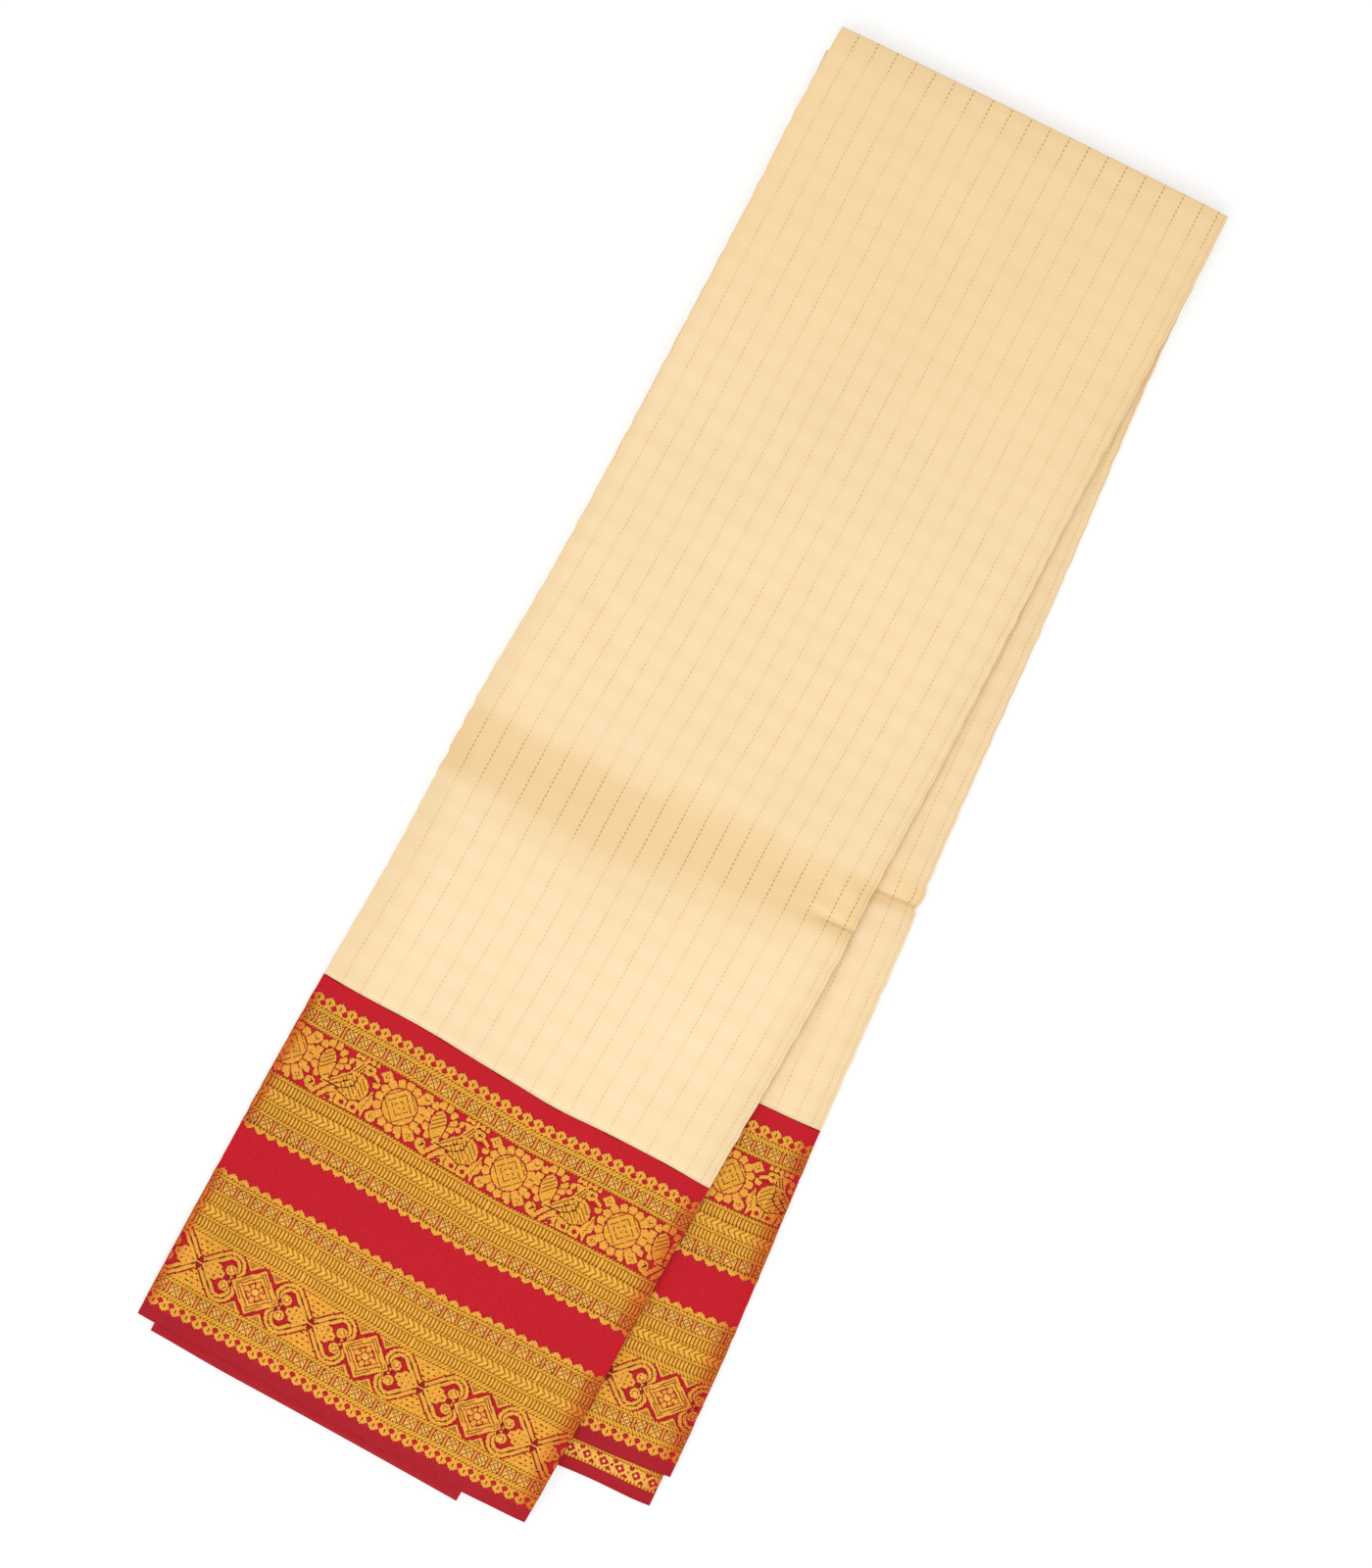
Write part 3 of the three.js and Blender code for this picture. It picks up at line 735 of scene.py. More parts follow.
def cloth_object(name, points, normals, uv, under_rows, under_columns, threads=None):
    """A closed leaf: a fine upper face, a coarser lower face and the rim between them.

    points, normals and uv are grids of the upper face. threads are codes for its cells.
    """
    rows, columns = points.shape[:2]
    index = np.arange(rows * columns).reshape(rows, columns)
    under = {}
    lower_points = []
    for i in under_rows:
        for j in under_columns:
            under[i, j] = rows * columns + len(lower_points)
            lower_points.append(points[i, j] - CLOTH * normals[i, j])
    vertices = np.concatenate([points.reshape(-1, 3), np.array(lower_points)])

    quads = np.stack([index[:-1, :-1], index[1:, :-1], index[1:, 1:], index[:-1, 1:]], axis=-1)
    quads = quads.reshape(-1, 4)
    faces = quads.tolist()
    for i, i_next in zip(under_rows, under_rows[1:]):
        for j, j_next in zip(under_columns, under_columns[1:]):
            faces.append([under[i, j], under[i, j_next], under[i_next, j_next], under[i_next, j]])
    walk = boundary_walk(rows, columns)
    stops = [k for k, place in enumerate(walk) if place in under]
    for start, end in zip(stops, stops[1:] + [stops[0] + len(walk)]):
        upper = [int(index[walk[k % len(walk)]]) for k in range(start, end + 1)]
        faces.append(upper[::-1] + [under[walk[start]], under[walk[end % len(walk)]]])

    if upward(vertices, quads) < 0:
        faces = [face[::-1] for face in faces]
    all_uv = np.concatenate([uv.reshape(-1, 2), np.array([uv[i, j] for i, j in under])])
    codes = None
    if threads is not None:
        # The rim and the underside take the darker selvage red; on the visible rims this is painted
        # shade.
        rest = np.full(len(faces) - len(quads), CODE["selvage"])
        codes = np.concatenate([threads.reshape(-1), rest])
    return make_object(name, vertices, faces, all_uv, codes)


def upward(vertices, quads):
    """Positive where the upper face's normals point up."""
    a, b, d = vertices[quads[:, 0]], vertices[quads[:, 1]], vertices[quads[:, 3]]
    return float(np.cross(b - a, d - a)[:, 2].sum())


def new_object(name, data):
    made = bpy.data.objects.new(name, data)
    bpy.context.scene.collection.objects.link(made)
    return made


def make_object(name, vertices, faces, uv, codes=None, masks=None):
    """A mesh object in metres, in the model's frame. uv is kept in metres along the cloth."""
    mesh = bpy.data.meshes.new(name)
    shift = np.array([CORNER[0], CORNER[1], 0.0])
    mesh.from_pydata(((vertices + shift) / METRE).tolist(), [], faces)
    corners = np.empty(len(mesh.loops), int)
    mesh.loops.foreach_get("vertex_index", corners)
    layer = mesh.uv_layers.new(name="Cloth")
    layer.data.foreach_set("uv", (uv[corners] / METRE).astype(np.float32).ravel())
    if codes is not None:
        table = np.array([THREADS[n] for n in THREAD_NAMES], np.float32)
        sizes = np.empty(len(mesh.polygons), int)
        mesh.polygons.foreach_get("loop_total", sizes)
        attribute = mesh.attributes.new("threads", "FLOAT_COLOR", "CORNER")
        attribute.data.foreach_set("color", np.repeat(table[codes], sizes, axis=0).ravel())
    if masks is not None:
        attribute = mesh.attributes.new("leaves", "FLOAT_COLOR", "POINT")
        attribute.data.foreach_set("color", masks.astype(np.float32).ravel())
    mesh.polygons.foreach_set("use_smooth", np.ones(len(mesh.polygons), bool))
    mesh.update()
    return new_object(name, mesh)


# ------------------------------------------------------------------ leaves
CURL_ANGLES = [math.radians(a) for a in (24, 48, 72, 96)]


def curled_columns(across):
    """Columns of a leaf with both side folds turned down: place, sideways share and angle."""
    left = [(across[0], -1, a) for a in reversed(CURL_ANGLES)]
    right = [(across[-1], 1, a) for a in CURL_ANGLES]
    return left + [(a, 0, 0.0) for a in across] + right


def leaf_grid(bundle, downs, columns, depth=0.0):
    """Points, normals and uv of a leaf. downs(across) gives the rows at one column."""
    points, normals, uv = [], [], []
    for across, sideways, angle in columns:
        down = downs(across)
        x, y, z = bundle.cloth(np.full_like(down, across), down, depth)
        reach = sideways * CURL_RADIUS * math.sin(angle)
        x = x + reach * bundle.cos
        y = y + reach * bundle.sin
        z = z - CURL_RADIUS * (1 - math.cos(angle))
        points.append(np.stack([x, y, z], axis=-1))
        tilt = sideways * math.sin(angle)
        normal = np.array([tilt * bundle.cos, tilt * bundle.sin, math.cos(angle)])
        normals.append(np.broadcast_to(normal, (len(down), 3)))
        along = STRIP_WIDTH * across + sideways * CURL_RADIUS * angle
        uv.append(np.stack([along - LINE_DRIFT * bell(down - 170, 90), down], axis=-1))
    return (np.stack(points, axis=1), np.stack(normals, axis=1), np.stack(uv, axis=1))


RELIEF = 0.12        # how far gold floats stand above the red ground


def brocade_leaf(name, bundle, weave, ends, span, fine_from=0.0, depth=0.0, curled=False):
    """A woven border: one column of cells for each thread, from fine_from to its right end."""
    edges, codes = weave
    share = edges / edges[-1]
    first, fine_start, last = (round(s * STRIP_WIDTH / CELL) for s in (span[0], fine_from, span[1]))
    fine_start = max(first, fine_start)
    coarse = np.linspace(first, fine_start, 12).astype(int)[:-1] if fine_start > first + 12 else []
    cell_columns = np.concatenate([coarse, np.arange(fine_start, last + 1)]).astype(int)
    across = cell_columns * CELL / STRIP_WIDTH
    columns = curled_columns(across) if curled else [(a, 0, 0.0) for a in across]

    def downs(place):
        top, bottom = (bundle.line(end, place) for end in ends)
        return top + (bottom - top) * share

    points, normals, uv = leaf_grid(bundle, downs, columns, depth)
    uv[..., 1] = (FIRST_ROW + edges)[:, None]
    threads = codes[:, cell_columns[:-1] % REPEAT]
    if curled:
        extra = np.arange(len(CURL_ANGLES))
        left_threads = codes[:, (cell_columns[0] - 1 - extra[::-1]) % REPEAT]
        right_threads = codes[:, (cell_columns[-1] + extra) % REPEAT]
        threads = np.concatenate([left_threads, threads, right_threads], axis=1)
    gold = np.array([THREADS[n][0] for n in THREAD_NAMES])[threads]
    points = points + (raised(gold) * RELIEF)[..., None] * normals
    under_rows = spread(points.shape[0], 8)
    under_columns = spread(points.shape[1], 12)
    return cloth_object(name, points, normals, uv, under_rows, under_columns, threads)


def raised(cells):
    """Corner heights of a grid, each the mean of the cells that meet there."""
    padded = np.pad(cells, 1, mode="edge")
    return (padded[:-1, :-1] + padded[1:, :-1] + padded[:-1, 1:] + padded[1:, 1:]) / 4


BODY_LENGTH = 440    # of the top leaf, for the number of its rows
INNER_ROWS = 110
JOIN_GAP = 0.12      # between the body and the border that is woven on


def folded_body(name, bundle, spacing):
    """The body: from the broad border's join up to the fold, round it and down inside."""
    across = np.linspace(0, 1, int(STRIP_WIDTH / spacing) + 1)
    columns = curled_columns(across)
    top_share = np.linspace(0, 1, int(BODY_LENGTH / spacing) + 1)
    near_fold = np.linspace(0, top_share[4], 9)[:-1]
    top_share = np.concatenate([near_fold, top_share[4:]])
    inner_share = np.linspace(0, 1, INNER_ROWS)

    def top_downs(place):
        start, end = bundle.line("fold", place) + FOLD_RADIUS, bundle.line("join", place) - JOIN_GAP
        return (start + (end - start) * top_share)[::-1]

    def inner_downs(place):
        start, join = bundle.line("fold", place) + FOLD_RADIUS, bundle.line("join", place)
        end = join + (bundle.line("hem", place) - join) * INNER_JOIN_STEP - JOIN_GAP
        return start + (end - start) * inner_share

    top = leaf_grid(bundle, top_downs, columns)
    inner = leaf_grid(bundle, inner_downs, [(a, 0, 0.0) for a, _, _ in columns], INNER_DEPTH)
    arc = fold_arc(bundle, columns)
    points = np.concatenate([top[0], arc[0], inner[0]])
    normals = np.concatenate([top[1], arc[1], -inner[1]])
    uv = np.concatenate([top[2], arc[2], inner[2]])
    under_rows = spread(points.shape[0], 1)
    under_columns = spread(points.shape[1], 4)
    return cloth_object(name, points, normals, uv, under_rows, under_columns)


def fold_arc(bundle, columns, steps=7):
    """The half turn of the body's top fold, between the two walls' first rows."""
    angles = [math.pi * (k + 1) / (steps + 1) for k in range(steps)]
    points, normals, uv = [], [], []
    for angle in angles:
        row_points, row_normals, row_uv = [], [], []
        for across, sideways, curl in columns:
            down = bundle.line("fold", across) + FOLD_RADIUS
            x, y, z = bundle.cloth(np.array([across]), np.array([down]), FOLD_RADIUS)
            out = FOLD_RADIUS * math.sin(angle)
            drop = CURL_RADIUS * (1 - math.cos(curl)) * (1 - angle / math.pi)
            reach = sideways * CURL_RADIUS * math.sin(curl) * (1 - angle / math.pi)
            row_points.append([
                x[0] - out * bundle.sin + reach * bundle.cos,
                y[0] + out * bundle.cos + reach * bundle.sin,
                z[0] + FOLD_RADIUS * math.cos(angle) - drop,
            ])
            up = math.sin(angle)
            row_normals.append([-up * bundle.sin, up * bundle.cos, math.cos(angle)])
            row_uv.append([STRIP_WIDTH * across, down - FOLD_RADIUS * angle])
        points.append(row_points)
        normals.append(row_normals)
        uv.append(row_uv)
    return np.array(points), np.array(normals), np.array(uv)


# ------------------------------------------------------------------ the leaves below, as one block
PAGES = 14
PAGE_ROWS = 3        # rows of points on each page's rounded nose
BLOCK_LENGTH = 600.0
BLOCK_SPACING = 4.0
# How far in the block's lower and upper faces end: left, right, at the fold and at the hem.
LOWER_INSETS = (2.4, 2.4, 2.4, 3.4)
UPPER_INSETS = (2.2, 2.2, 2.6, 3.2)


def leaf_block(name, bundle, seed):
    """Many thin folded leaves, pressed together: each has its own rounded edge and place."""
    rng = np.random.default_rng(seed)
    rows = int(BLOCK_LENGTH / BLOCK_SPACING) + 1
    columns = int(STRIP_WIDTH / BLOCK_SPACING) + 1
    share = np.linspace(0, 1, rows)
    across = np.linspace(0, 1, columns)
    grid_across, grid_share = np.meshgrid(across, share)
    walk = boundary_walk(rows, columns)
    walk_i = np.array([i for i, _ in walk])
    walk_j = np.array([j for _, j in walk])
    points, uv, masks = [], [], []

    def place(inset_left, inset_right, inset_fold, inset_hem, level):
        """A full grid of points, with its boundary drawn in by the insets."""
        a = grid_across.copy()
        a[:, 0] = inset_left / STRIP_WIDTH
        a[:, -1] = 1 - inset_right / STRIP_WIDTH
        fold = bundle.line("fold", a)
        hem = bundle.line("hem", a)
        down = fold + (hem - fold) * grid_share
        down[0] = fold[0] + inset_fold
        down[-1] = hem[-1] - inset_hem
        x, y, top = bundle.cloth(a, down, BLOCK_DEPTH)
        low = bundle.support(x, y)
        return np.stack([x, y, low + (top - low) * level], axis=-1), a, down

    def wander(scale):
        """A slow uneven wave along one side, for each page."""
        waves = [
            rng.normal(0, 1 / (k + 1)) * np.sin(2 * math.pi * (k + 1) * share + rng.uniform(0, 6.28))
            for k in range(6)
        ]
        return scale * sum(waves)

    def add(grid, a, down, page):
        start = sum(map(len, points))
        points.append(grid.reshape(-1, 3))
        uv.append(np.stack([STRIP_WIDTH * a.ravel(), down.ravel()], axis=-1))
        masks.append(leaf_mask(bundle, a.ravel(), down.ravel(), page))
        return start

    bottom_start = add(*place(*LOWER_INSETS, 0.0), 0)
    rings = [[bottom_start + i * columns + j for i, j in walk]]
    for page in range(PAGES):
        left, right = 0.9 + wander(0.45), 0.9 + wander(0.5)
        fold = 0.7 + rng.uniform(0, 1.2)
        hem = rng.uniform(0.3, 3.4) + np.interp(across, share, wander(0.35))
        for row in range(PAGE_ROWS):
            nose = abs(row / (PAGE_ROWS - 1) - 0.5) * 2
            draw_in = 1.1 * nose ** 2
            level = (page + 0.08 + 0.84 * row / (PAGE_ROWS - 1)) / PAGES
            insets = (edge + draw_in for edge in (left, right, fold, hem))
            grid, a, down = place(*insets, level)
            ring = add(grid[walk_i, walk_j], a[walk_i, walk_j], down[walk_i, walk_j], page)
            rings.append(list(range(ring, ring + len(walk))))
    top_start = add(*place(*UPPER_INSETS, 1.0), PAGES - 1)
    rings.append([top_start + i * columns + j for i, j in walk])

    faces = []
    for i in range(rows - 1):
        for j in range(columns - 1):
            here = i * columns + j
            quad = [here, here + columns, here + columns + 1, here + 1]
            faces.append([top_start + v for v in quad])
            faces.append([bottom_start + v for v in reversed(quad)])
    for low, high in zip(rings, rings[1:]):
        for k in range(len(walk)):
            n = (k + 1) % len(walk)
            faces.append([low[k], low[n], high[n], high[k]])
    points, uv, masks = (np.concatenate(parts) for parts in (points, uv, masks))
    return make_object(name, points, faces, uv, masks=masks)


GOLD_SHARE = {"plain": 0, "join": 0, "selvage": 0, "edging_up": 0.6, "edging_down": 0.6}


def leaf_mask(bundle, across, down, page):
    """What the hidden leaves' edges show: red, gold, the page's shade, and 1 to spare."""
    join, hem = bundle.line("join", across), bundle.line("hem", across)
    in_border = (down - join) / (hem - join)
    broad = page % 4 in (0, 3)
    red = (in_border > (0.0 if broad else INNER_JOIN_STEP)).astype(float)
    sizes = [size for _, size in BROAD_BANDS]
    ends = np.cumsum(sizes) / sum(sizes)
    shares = np.array([GOLD_SHARE.get(kind, 0.85) for kind, _ in BROAD_BANDS])
    gold = shares[np.clip(np.searchsorted(ends, in_border), 0, len(sizes) - 1)] * red * broad
    return np.stack([red, gold, np.full_like(red, page * 7 % 5 / 4), np.ones_like(red)], axis=-1)


# ------------------------------------------------------------------ materials
def srgb(red, green, blue):
    """A screen colour as Blender's linear one."""
    def linear(value):
        v = value / 255
        return v / 12.92 if v <= 0.04045 else ((v + 0.055) / 1.055) ** 2.4
    return (linear(red), linear(green), linear(blue), 1.0)


CREAM = srgb(251, 222, 174)
# Painted shade of the cream, along the crease and towards the top fold.
SHADED_CREAM = srgb(248, 211, 154)
CREAM_SHADE = srgb(241, 202, 140)
# Painted shade in a thin line along a sharp crease.
CREASE_LINE_SHADE = srgb(206, 152, 78)
RED = srgb(198, 26, 40)
SELVAGE_RED = srgb(174, 30, 41)
WARM_GOLD = srgb(239, 167, 65)
YELLOW_GOLD = srgb(238, 168, 40)
PALE_GOLD = srgb(254, 216, 124)
BINDING = srgb(70, 18, 2)
# Painted shade of the gold where the cloth falls away towards the side folds.
FOLD_SHADE_RED = srgb(222, 78, 30)
ZARI_DOT = srgb(166, 114, 0)


class Wiring:
    """Adds nodes to a tree and joins them; a value may be a number, a colour or a socket."""

    def __init__(self, tree):
        self.tree = tree

    def put(self, target, value):
        if hasattr(value, "is_output"):
            self.tree.links.new(value, target)
        else:
            target.default_value = value

    def node(self, kind, **settings):
        made = self.tree.nodes.new(kind)
        for key, value in settings.items():
            setattr(made, key, value)
        return made

    def math(self, operation, a, b=0.0, c=0.0, clamp=False):
        made = self.node("ShaderNodeMath", operation=operation, use_clamp=clamp)
        for socket, value in zip(made.inputs, (a, b, c)):
            self.put(socket, value)
        return made.outputs[0]

    def times(self, a, b, clamp=False):
        return self.math("MULTIPLY", a, b, clamp=clamp)

    def scaled(self, value, factor, offset):
        return self.math("MULTIPLY_ADD", value, factor, offset)

    def rest(self, share):
        """What a share leaves of one."""
        return self.math("SUBTRACT", 1.0, share)

    def apart(self, a, b):
        return self.math("ABSOLUTE", self.math("SUBTRACT", a, b))

    def humps(self, value, rate):
        """A row of round humps, from 0 to 1."""
        return self.math("ABSOLUTE", self.math("SINE", self.times(value, rate)))

    def vector(self, x, y):
        made = self.node("ShaderNodeCombineXYZ")
        self.put(made.inputs[0], x)
        self.put(made.inputs[1], y)
        return made.outputs[0]

    def ramp(self, value, low, high):
        """0 below low and 1 above high, smoothly."""
        made = self.node("ShaderNodeMapRange", interpolation_type="SMOOTHSTEP")
        for name, number in (("Value", value), ("From Min", low), ("From Max", high)):
            self.put(made.inputs[name], number)
        return made.outputs["Result"]

    def mix(self, share, a, b, blend="MIX"):
        made = self.node("ShaderNodeMix", data_type="RGBA", blend_type=blend)
        self.put(made.inputs[0], share)
        self.put(made.inputs[6], a)
        self.put(made.inputs[7], b)
        return made.outputs[2]

    def noise(self, vector, scale, detail=2.0, roughness=0.5):
        made = self.node("ShaderNodeTexNoise")
        self.put(made.inputs["Vector"], vector)
        for name, number in (("Scale", scale), ("Detail", detail), ("Roughness", roughness)):
            made.inputs[name].default_value = number
        return made.outputs["Fac"]

    def shaded(self, colour, shade):
        """A colour times a grey."""
        grey = self.node("ShaderNodeCombineColor")
        for socket in grey.inputs[:3]:
            self.put(socket, shade)
        return self.mix(1.0, colour, grey.outputs[0], "MULTIPLY")


def new_group(name, inputs, outputs):
    tree = bpy.data.node_groups.new(name, "ShaderNodeTree")
    for socket, kind, value in inputs:
        made = tree.interface.new_socket(socket, in_out="INPUT", socket_type=kind)
        if value is not None:
            made.default_value = value
    for socket in outputs:
        tree.interface.new_socket(socket, in_out="OUTPUT", socket_type="NodeSocketFloat")
    return tree, Wiring(tree), tree.nodes.new("NodeGroupInput"), tree.nodes.new("NodeGroupOutput")


def silk_weave_group():
    """Plain-woven silk on the cloth's own map: thread height, thread shade and slow slub."""
    inputs = [
        ("Cloth", "NodeSocketVector", None),
        ("Warp Pitch mm", "NodeSocketFloat", 0.3),
        ("Weft Pitch mm", "NodeSocketFloat", 0.34),
    ]
    tree, w, source, result = new_group("Silk weave", inputs, ["Height", "Shade", "Slub"])
    parts = w.node("ShaderNodeSeparateXYZ")
    tree.links.new(source.outputs["Cloth"], parts.inputs[0])
    u = w.math("DIVIDE", w.times(parts.outputs[0], METRE), source.outputs["Warp Pitch mm"])
    v = w.math("DIVIDE", w.times(parts.outputs[1], METRE), source.outputs["Weft Pitch mm"])
    warp = w.humps(u, math.pi)
    weft = w.humps(v, math.pi)
    over = w.math("MODULO", w.math("ADD", w.math("FLOOR", u), w.math("FLOOR", v)), 2.0)
    over = w.math("GREATER_THAN", w.math("ABSOLUTE", over), 0.5)
    under = w.rest(over)
    height = w.math("ADD", w.times(warp, over), w.times(weft, under))
    stretch = w.node("ShaderNodeMapping")
    tree.links.new(source.outputs["Cloth"], stretch.inputs["Vector"])
    stretch.inputs["Scale"].default_value = (60.0, 900.0, 1.0)
    tree.links.new(height, result.inputs["Height"])
    tree.links.new(w.scaled(height, 0.10, 0.93), result.inputs["Shade"])
    tree.links.new(w.noise(stretch.outputs[0], 1.0, 3.0), result.inputs["Slub"])
    return tree


def cloth_tone_group():
    """Slow unevenness of dye and handling, on the object's own coordinates."""
    tree, w, source, result = new_group("Cloth tone", [("Amount", "NodeSocketFloat", 0.05)], ["Shade"])
    place = w.node("ShaderNodeTexCoord").outputs["Object"]
    slow = w.noise(place, 14.0, 3.0, 0.6)
    swing = w.times(w.math("SUBTRACT", slow, 0.5), source.outputs["Amount"])
    tree.links.new(w.scaled(swing, 2.0, 1.0), result.inputs["Shade"])
    return tree


SILK_WEAVE = silk_weave_group()
CLOTH_TONE = cloth_tone_group()


class Silk:
    """A material with its shader, the cloth's map in millimetres and the shared groups."""

    def __init__(self, name, roughness, level, sheen):
        self.material = bpy.data.materials.new(name)
        self.material.use_nodes = True
        self.w = w = Wiring(self.material.node_tree)
        self.shader = self.material.node_tree.nodes["Principled BSDF"]
        self.set("Roughness", roughness)
        self.set("Specular IOR Level", level)
        self.set("Sheen Weight", sheen)
        self.set("Sheen Roughness", 0.4)
        self.cloth = w.node("ShaderNodeUVMap", uv_map="Cloth").outputs[0]
        parts = w.node("ShaderNodeSeparateXYZ")
        w.put(parts.inputs[0], self.cloth)
        self.u = w.times(parts.outputs[0], METRE)
        self.v = w.times(parts.outputs[1], METRE)
        weave = w.node("ShaderNodeGroup", node_tree=SILK_WEAVE)
        w.put(weave.inputs["Cloth"], self.cloth)
        self.height, self.slub = weave.outputs["Height"], weave.outputs["Slub"]
        tone = w.node("ShaderNodeGroup", node_tree=CLOTH_TONE)
        self.shade = w.times(tone.outputs["Shade"], weave.outputs["Shade"])

    def set(self, name, value):
        self.w.put(self.shader.inputs[name], value)

    def attribute(self, name):
        """The four channels of a colour attribute."""
        source = self.w.node("ShaderNodeAttribute", attribute_name=name)
        parts = self.w.node("ShaderNodeSeparateColor")
        self.w.put(parts.inputs[0], source.outputs["Color"])
        return (*parts.outputs[:3], source.outputs["Alpha"])

    def bump(self, height, distance, strength):
        made = self.w.node("ShaderNodeBump")
        made.inputs["Strength"].default_value = strength
        made.inputs["Distance"].default_value = distance
        self.w.put(made.inputs["Height"], height)
        self.set("Normal", made.outputs[0])


def body_material(name, crease, slant, shade_line_at, shade_line_from):
    """Cream silk: fine weave, faint self check and fine lines of gold zari dots.

    The crease lies between two levels down the cloth, and climbs to the right by slant. A thin
    line of painted shade lies along it at one level, to the right of a given place across.
    """
    crease_from, crease_to = crease
    silk = Silk(name, roughness=0.38, level=0.6, sheen=0.1)
    w, u, v = silk.w, silk.u, silk.v
    nearest = w.math("ROUND", w.math("DIVIDE", w.math("SUBTRACT", u, FIRST_LINE), LINE_PITCH))
    place = w.math("MINIMUM", w.scaled(nearest, LINE_PITCH, FIRST_LINE), LAST_LINE)
    from_line = w.apart(u, place)
    along = w.times(w.math("FRACT", w.math("DIVIDE", v, DOT_PITCH)), DOT_PITCH)
    on_line = w.math("LESS_THAN", from_line, DOT_HALF_WIDTH)
    dot = w.times(on_line, w.math("LESS_THAN", along, DOT_LENGTH))
    # Each line comes and goes along its length. Its dots are painted darker near the top fold and
    # along the crease, as painted shade where the gold thread turns away from the light.
    presence = w.noise(w.vector(w.times(nearest, 7.31), w.times(v, 0.05)), 1.0, 3.0, 0.7)
    shown = w.scaled(w.ramp(presence, 0.36, 0.62), 0.26, 0.13)
    fold_dot_shade = w.times(w.rest(w.ramp(v, 8.0, 24.0)), 0.75)
    # The cloth leans away from the light along the crease, and there the cream is painted darker, as
    # painted shade.
    level = w.scaled(u, slant, v)
    patch = w.math("SUBTRACT", w.noise(silk.cloth, 22.0, 3.0), 0.5)
    wavy = w.scaled(patch, 24.0, level)
    after = w.rest(w.ramp(wavy, crease_to - 8, crease_to + 11))
    crease_shade = w.times(w.ramp(wavy, crease_from - 9, crease_from + 6), after)
    shown = w.math("MAXIMUM", shown, w.math("MAXIMUM", fold_dot_shade, w.times(crease_shade, 0.75)))
    dots = w.times(dot, shown, clamp=True)
    # Towards the top fold the cream is painted darker too, as painted shade.
    upper = w.times(w.rest(w.ramp(v, 70.0, 170.0)), 0.55)
    deep = w.math("MAXIMUM", crease_shade, upper)

    rows = w.math("SINE", w.times(v, 2 * math.pi / CHECK_ROWS))
    rows = w.times(w.scaled(rows, 0.5, 0.5), 0.16)
    columns = w.times(w.rest(w.ramp(from_line, 0.6, 3.2)), 0.12)
    drift = w.scaled(w.noise(silk.cloth, 20.0, 2.0), 0.8, 0.6)
    check = w.times(w.math("ADD", rows, columns), drift)
    slub = w.times(w.ramp(silk.slub, 0.62, 0.8), 0.10)
    ground = w.mix(w.math("ADD", check, slub), w.mix(deep, CREAM, SHADED_CREAM), CREAM_SHADE)
    # A thin line of painted shade lies along the crease at one level.
    off = w.ramp(w.apart(level, shade_line_at), 0.1, 1.3)
    shade_line = w.times(w.rest(off), w.ramp(u, shade_line_from, shade_line_from + 12))
    ground = w.mix(w.times(shade_line, 0.36), ground, CREASE_LINE_SHADE)
    # The fold of the next leaf shows through as a thin line, close to the right-hand edge.
    fold_line = w.math("LESS_THAN", w.apart(u, NEXT_FOLD), 0.16)
    ground = w.mix(w.times(fold_line, 0.3), ground, ZARI_DOT)
    silk.set("Base Color", w.mix(dots, w.shaded(ground, silk.shade), ZARI_DOT))
    silk.set("Metallic", w.times(dots, 0.15))
    threads = w.scaled(dots, 1.2, w.times(silk.height, 0.35))
    silk.bump(threads, 0.00006, 0.6)
    return silk.material


def brocade_material(name):
    """Red silk brocaded with gold: the chart gives each cell's thread."""
    silk = Silk(name, roughness=0.5, level=0.1, sheen=0.0)
    w, u, v = silk.w, silk.u, silk.v
    gold, warm, dark, pale = silk.attribute("threads")
    metal = w.mix(warm, YELLOW_GOLD, WARM_GOLD)
    metal = w.mix(pale, metal, PALE_GOLD)
    # Where the cloth falls away towards the side folds, the gold is painted darker and redder, as
    # painted shade.
    right_fold = w.ramp(u, STRIP_WIDTH - 10.0, STRIP_WIDTH - 0.5)
    left_fold = w.rest(w.ramp(u, 0.5, 5.0))
    near_fold = w.math("MAXIMUM", right_fold, left_fold)
    metal = w.mix(w.times(near_fold, 0.7), metal, FOLD_SHADE_RED)
    # Each float is a small bead of metal thread, bound down at its corners. Its height makes the bump,
    # and the gold is painted darker towards the bead's edges as painted shade of its rounded form.
    bead_and_shade = w.math("POWER", w.times(w.humps(u, math.pi / CELL), w.humps(v, math.pi / CELL)), 0.5)
    cell = w.vector(*(w.math("FLOOR", w.math("DIVIDE", place, CELL)) for place in (u, v)))
    random_tone = w.node("ShaderNodeTexWhiteNoise", noise_dimensions="2D")
    w.put(random_tone.inputs["Vector"], cell)
    uneven = random_tone.outputs["Value"]
    metal = w.shaded(metal, w.scaled(uneven, 0.30, w.scaled(bead_and_shade, 0.45, 0.50)))
    red = w.mix(w.times(pale, 2.0, clamp=True), RED, SELVAGE_RED)
    ground = w.times(w.scaled(uneven, 0.2, 0.9), silk.shade)
    colour = w.mix(gold, w.shaded(red, ground), metal)
    silk.set("Base Color", w.mix(dark, colour, BINDING))
    silk.set("Metallic", w.times(gold, 0.3))
    silk.set("Roughness", w.scaled(gold, -0.12, 0.6))
    threads = w.times(w.times(bead_and_shade, gold), 0.9)
    silk.bump(w.scaled(silk.height, 0.3, threads), 0.00007, 0.7)
    return silk.material


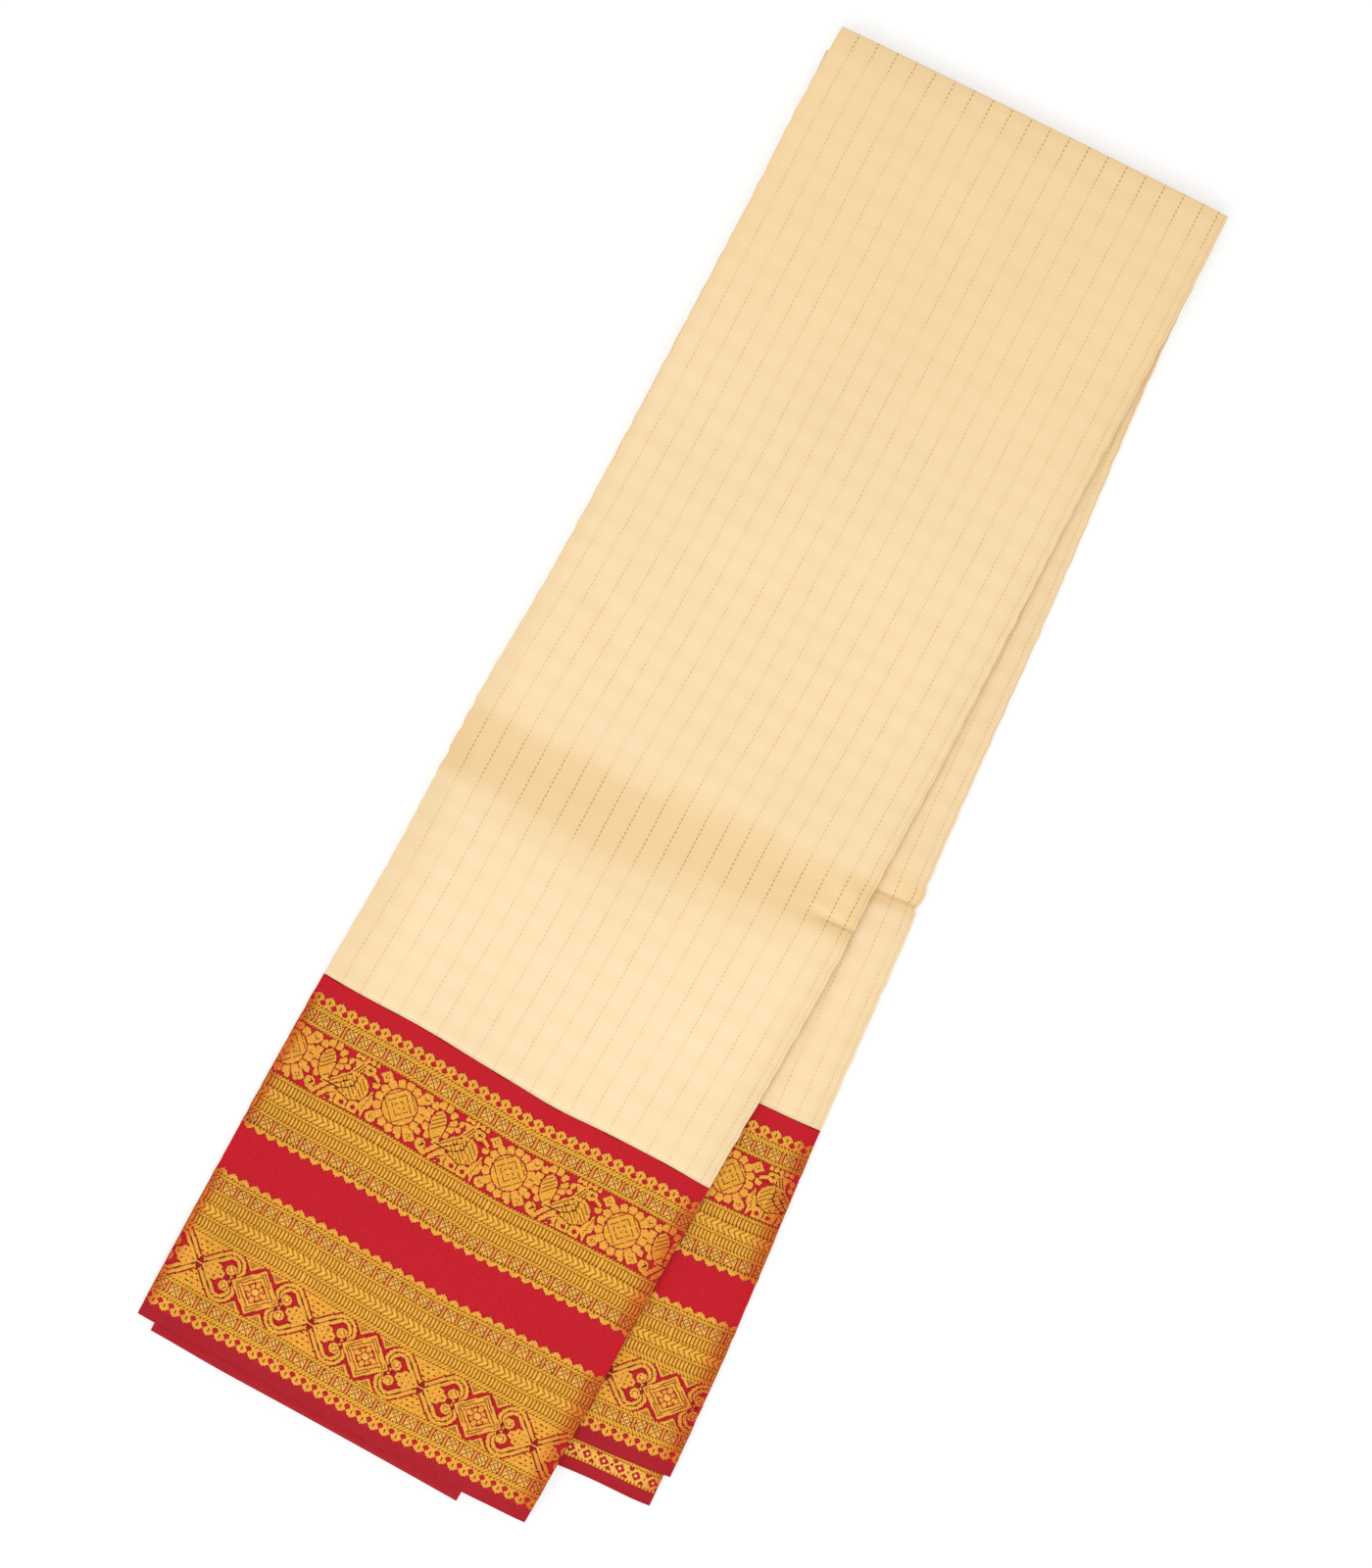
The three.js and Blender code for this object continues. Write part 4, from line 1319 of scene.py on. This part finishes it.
def leaves_material():
    """The edges of the folded leaves: cream, and red and gold towards the hem."""
    silk = Silk("Folded leaves", roughness=0.55, level=0.3, sheen=0.1)
    w = silk.w
    red, gold, page, _ = silk.attribute("leaves")
    border = w.mix(w.times(gold, 0.75), SELVAGE_RED, WARM_GOLD)
    colour = w.mix(w.ramp(red, 0.35, 0.65), CREAM, border)
    shade = w.times(silk.shade, w.scaled(page, 0.08, 0.92))
    silk.set("Base Color", w.shaded(colour, shade))
    silk.bump(silk.height, 0.00004, 0.5)
    return silk.material


FRONT_SILK = body_material(
    "Cream silk, front", crease=(322, 350), slant=0.085, shade_line_at=343.2, shade_line_from=160
)
SIDE_SILK = body_material(
    "Cream silk, side", crease=(297, 309), slant=0.0, shade_line_at=307.6, shade_line_from=140
)
BROAD_SILK = brocade_material("Brocaded border")
NARROW_SILK = brocade_material("Narrow border")
LEAF_SILK = leaves_material()


# ------------------------------------------------------------------ the pieces
def finish_piece(obj, material, node):
    obj.data.materials.append(material)
    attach(obj, "root")
    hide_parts(node)


for bundle in (front, side):
    bundle.lines["narrow_join"] = tuple(
        a + (b - a) * INNER_JOIN_STEP for a, b in zip(bundle.lines["join"], bundle.lines["hem"])
    )
FRONT_WEAVE = weave_bands(BROAD_BANDS, FRONT_PHASES, False)
SIDE_WEAVE = weave_bands(BROAD_BANDS, SIDE_PHASES, True)
BROAD_ENDS, NARROW_ENDS = ("join", "hem"), ("narrow_join", "inner_hem")
NARROW_DEPTH = INNER_DEPTH - CLOTH
SIDE_SEEN_FROM = 0.62                # left of here the front bundle hides the side one's borders

front_body = folded_body("front_body_silk", front, spacing=2.2)
finish_piece(front_body, FRONT_SILK, "front_body")
front_broad = brocade_leaf("front_broad_brocade", front, FRONT_WEAVE, BROAD_ENDS, (0, 1), curled=True)
finish_piece(front_broad, BROAD_SILK, "front_broad_border")
front_narrow = brocade_leaf(
    "front_narrow_silk", front, weave_bands(FRONT_NARROW, {}, False), NARROW_ENDS, INNER_SPAN,
    depth=NARROW_DEPTH,
)
finish_piece(front_narrow, NARROW_SILK, "front_narrow_border")
front_leaves = leaf_block("front_leaves", front, seed=11)
finish_piece(front_leaves, LEAF_SILK, "front_hidden_layers")

side_body = folded_body("side_body_silk", side, spacing=2.6)
finish_piece(side_body, SIDE_SILK, "side_body")
side_broad = brocade_leaf(
    "side_broad_brocade", side, SIDE_WEAVE, BROAD_ENDS, (0, 1), fine_from=SIDE_SEEN_FROM, curled=True
)
finish_piece(side_broad, BROAD_SILK, "side_broad_border")
side_narrow = brocade_leaf(
    "side_narrow_silk", side, weave_bands(SIDE_NARROW, {}, True), NARROW_ENDS, SIDE_INNER_SPAN,
    fine_from=SIDE_SEEN_FROM, depth=NARROW_DEPTH,
)
finish_piece(side_narrow, NARROW_SILK, "side_narrow_border")
side_leaves = leaf_block("side_leaves", side, seed=23)
finish_piece(side_leaves, LEAF_SILK, "side_hidden_layers")

# ------------------------------------------------------------------ floor, light and camera
VIEW_ROLL = math.radians(28.6)       # the strip's long side leans this far from upright in view
VIEW_CENTRE = (-83.1, -307.3)        # middle of the view, from the corner, in millimetres
VIEW_HEIGHT = 637.0                  # how much the view takes in, top to bottom
LENS = 150.0
SENSOR = 36.0


def plain_floor():
    bpy.ops.mesh.primitive_plane_add(size=6.0, location=(0, 0, 0))
    floor = bpy.context.object
    floor.name = "floor"
    material = bpy.data.materials.new("Pale floor")
    material.use_nodes = True
    shader = material.node_tree.nodes["Principled BSDF"]
    settings = {
        "Base Color": (0.45, 0.45, 0.45, 1), "Roughness": 0.8, "Specular IOR Level": 0.1,
        "Emission Color": (1, 1, 1, 1), "Emission Strength": 0.6,
    }
    for name, value in settings.items():
        shader.inputs[name].default_value = value
    floor.data.materials.append(material)


def soft_light(name, right, up, height, size, power):
    """An area light placed by the view's own right and up, pointing at the sari."""
    x = right * math.cos(VIEW_ROLL) - up * math.sin(VIEW_ROLL)
    y = right * math.sin(VIEW_ROLL) + up * math.cos(VIEW_ROLL)
    data = bpy.data.lights.new(name, "AREA")
    data.size = size
    data.energy = power
    light = new_object(name, data)
    light.location = (x, y, height)
    light.rotation_euler = Vector((-x, -y, -height)).to_track_quat("-Z", "Y").to_euler()


def studio():
    plain_floor()
    world = bpy.data.worlds.new("Studio")
    world.use_nodes = True
    background = world.node_tree.nodes["Background"]
    background.inputs["Color"].default_value = (1, 1, 1, 1)
    background.inputs["Strength"].default_value = 0.58
    scene = bpy.context.scene
    scene.world = world
    scene.view_settings.view_transform = "Standard"
    soft_light("key", right=-0.90, up=-1.40, height=4.2, size=3.2, power=106)


def top_camera():
    data = bpy.data.cameras.new("camera")
    data.lens = LENS
    data.sensor_width = SENSOR
    data.clip_end = 20
    camera = new_object("camera", data)
    distance = LENS / SENSOR * VIEW_HEIGHT / METRE
    camera.location = (
        (VIEW_CENTRE[0] + CORNER[0]) / METRE,
        (VIEW_CENTRE[1] + CORNER[1]) / METRE,
        distance + BUNDLE_HEIGHT / METRE,
    )
    camera.rotation_euler = (0, 0, VIEW_ROLL)
    bpy.context.scene.camera = camera


studio()
top_camera()
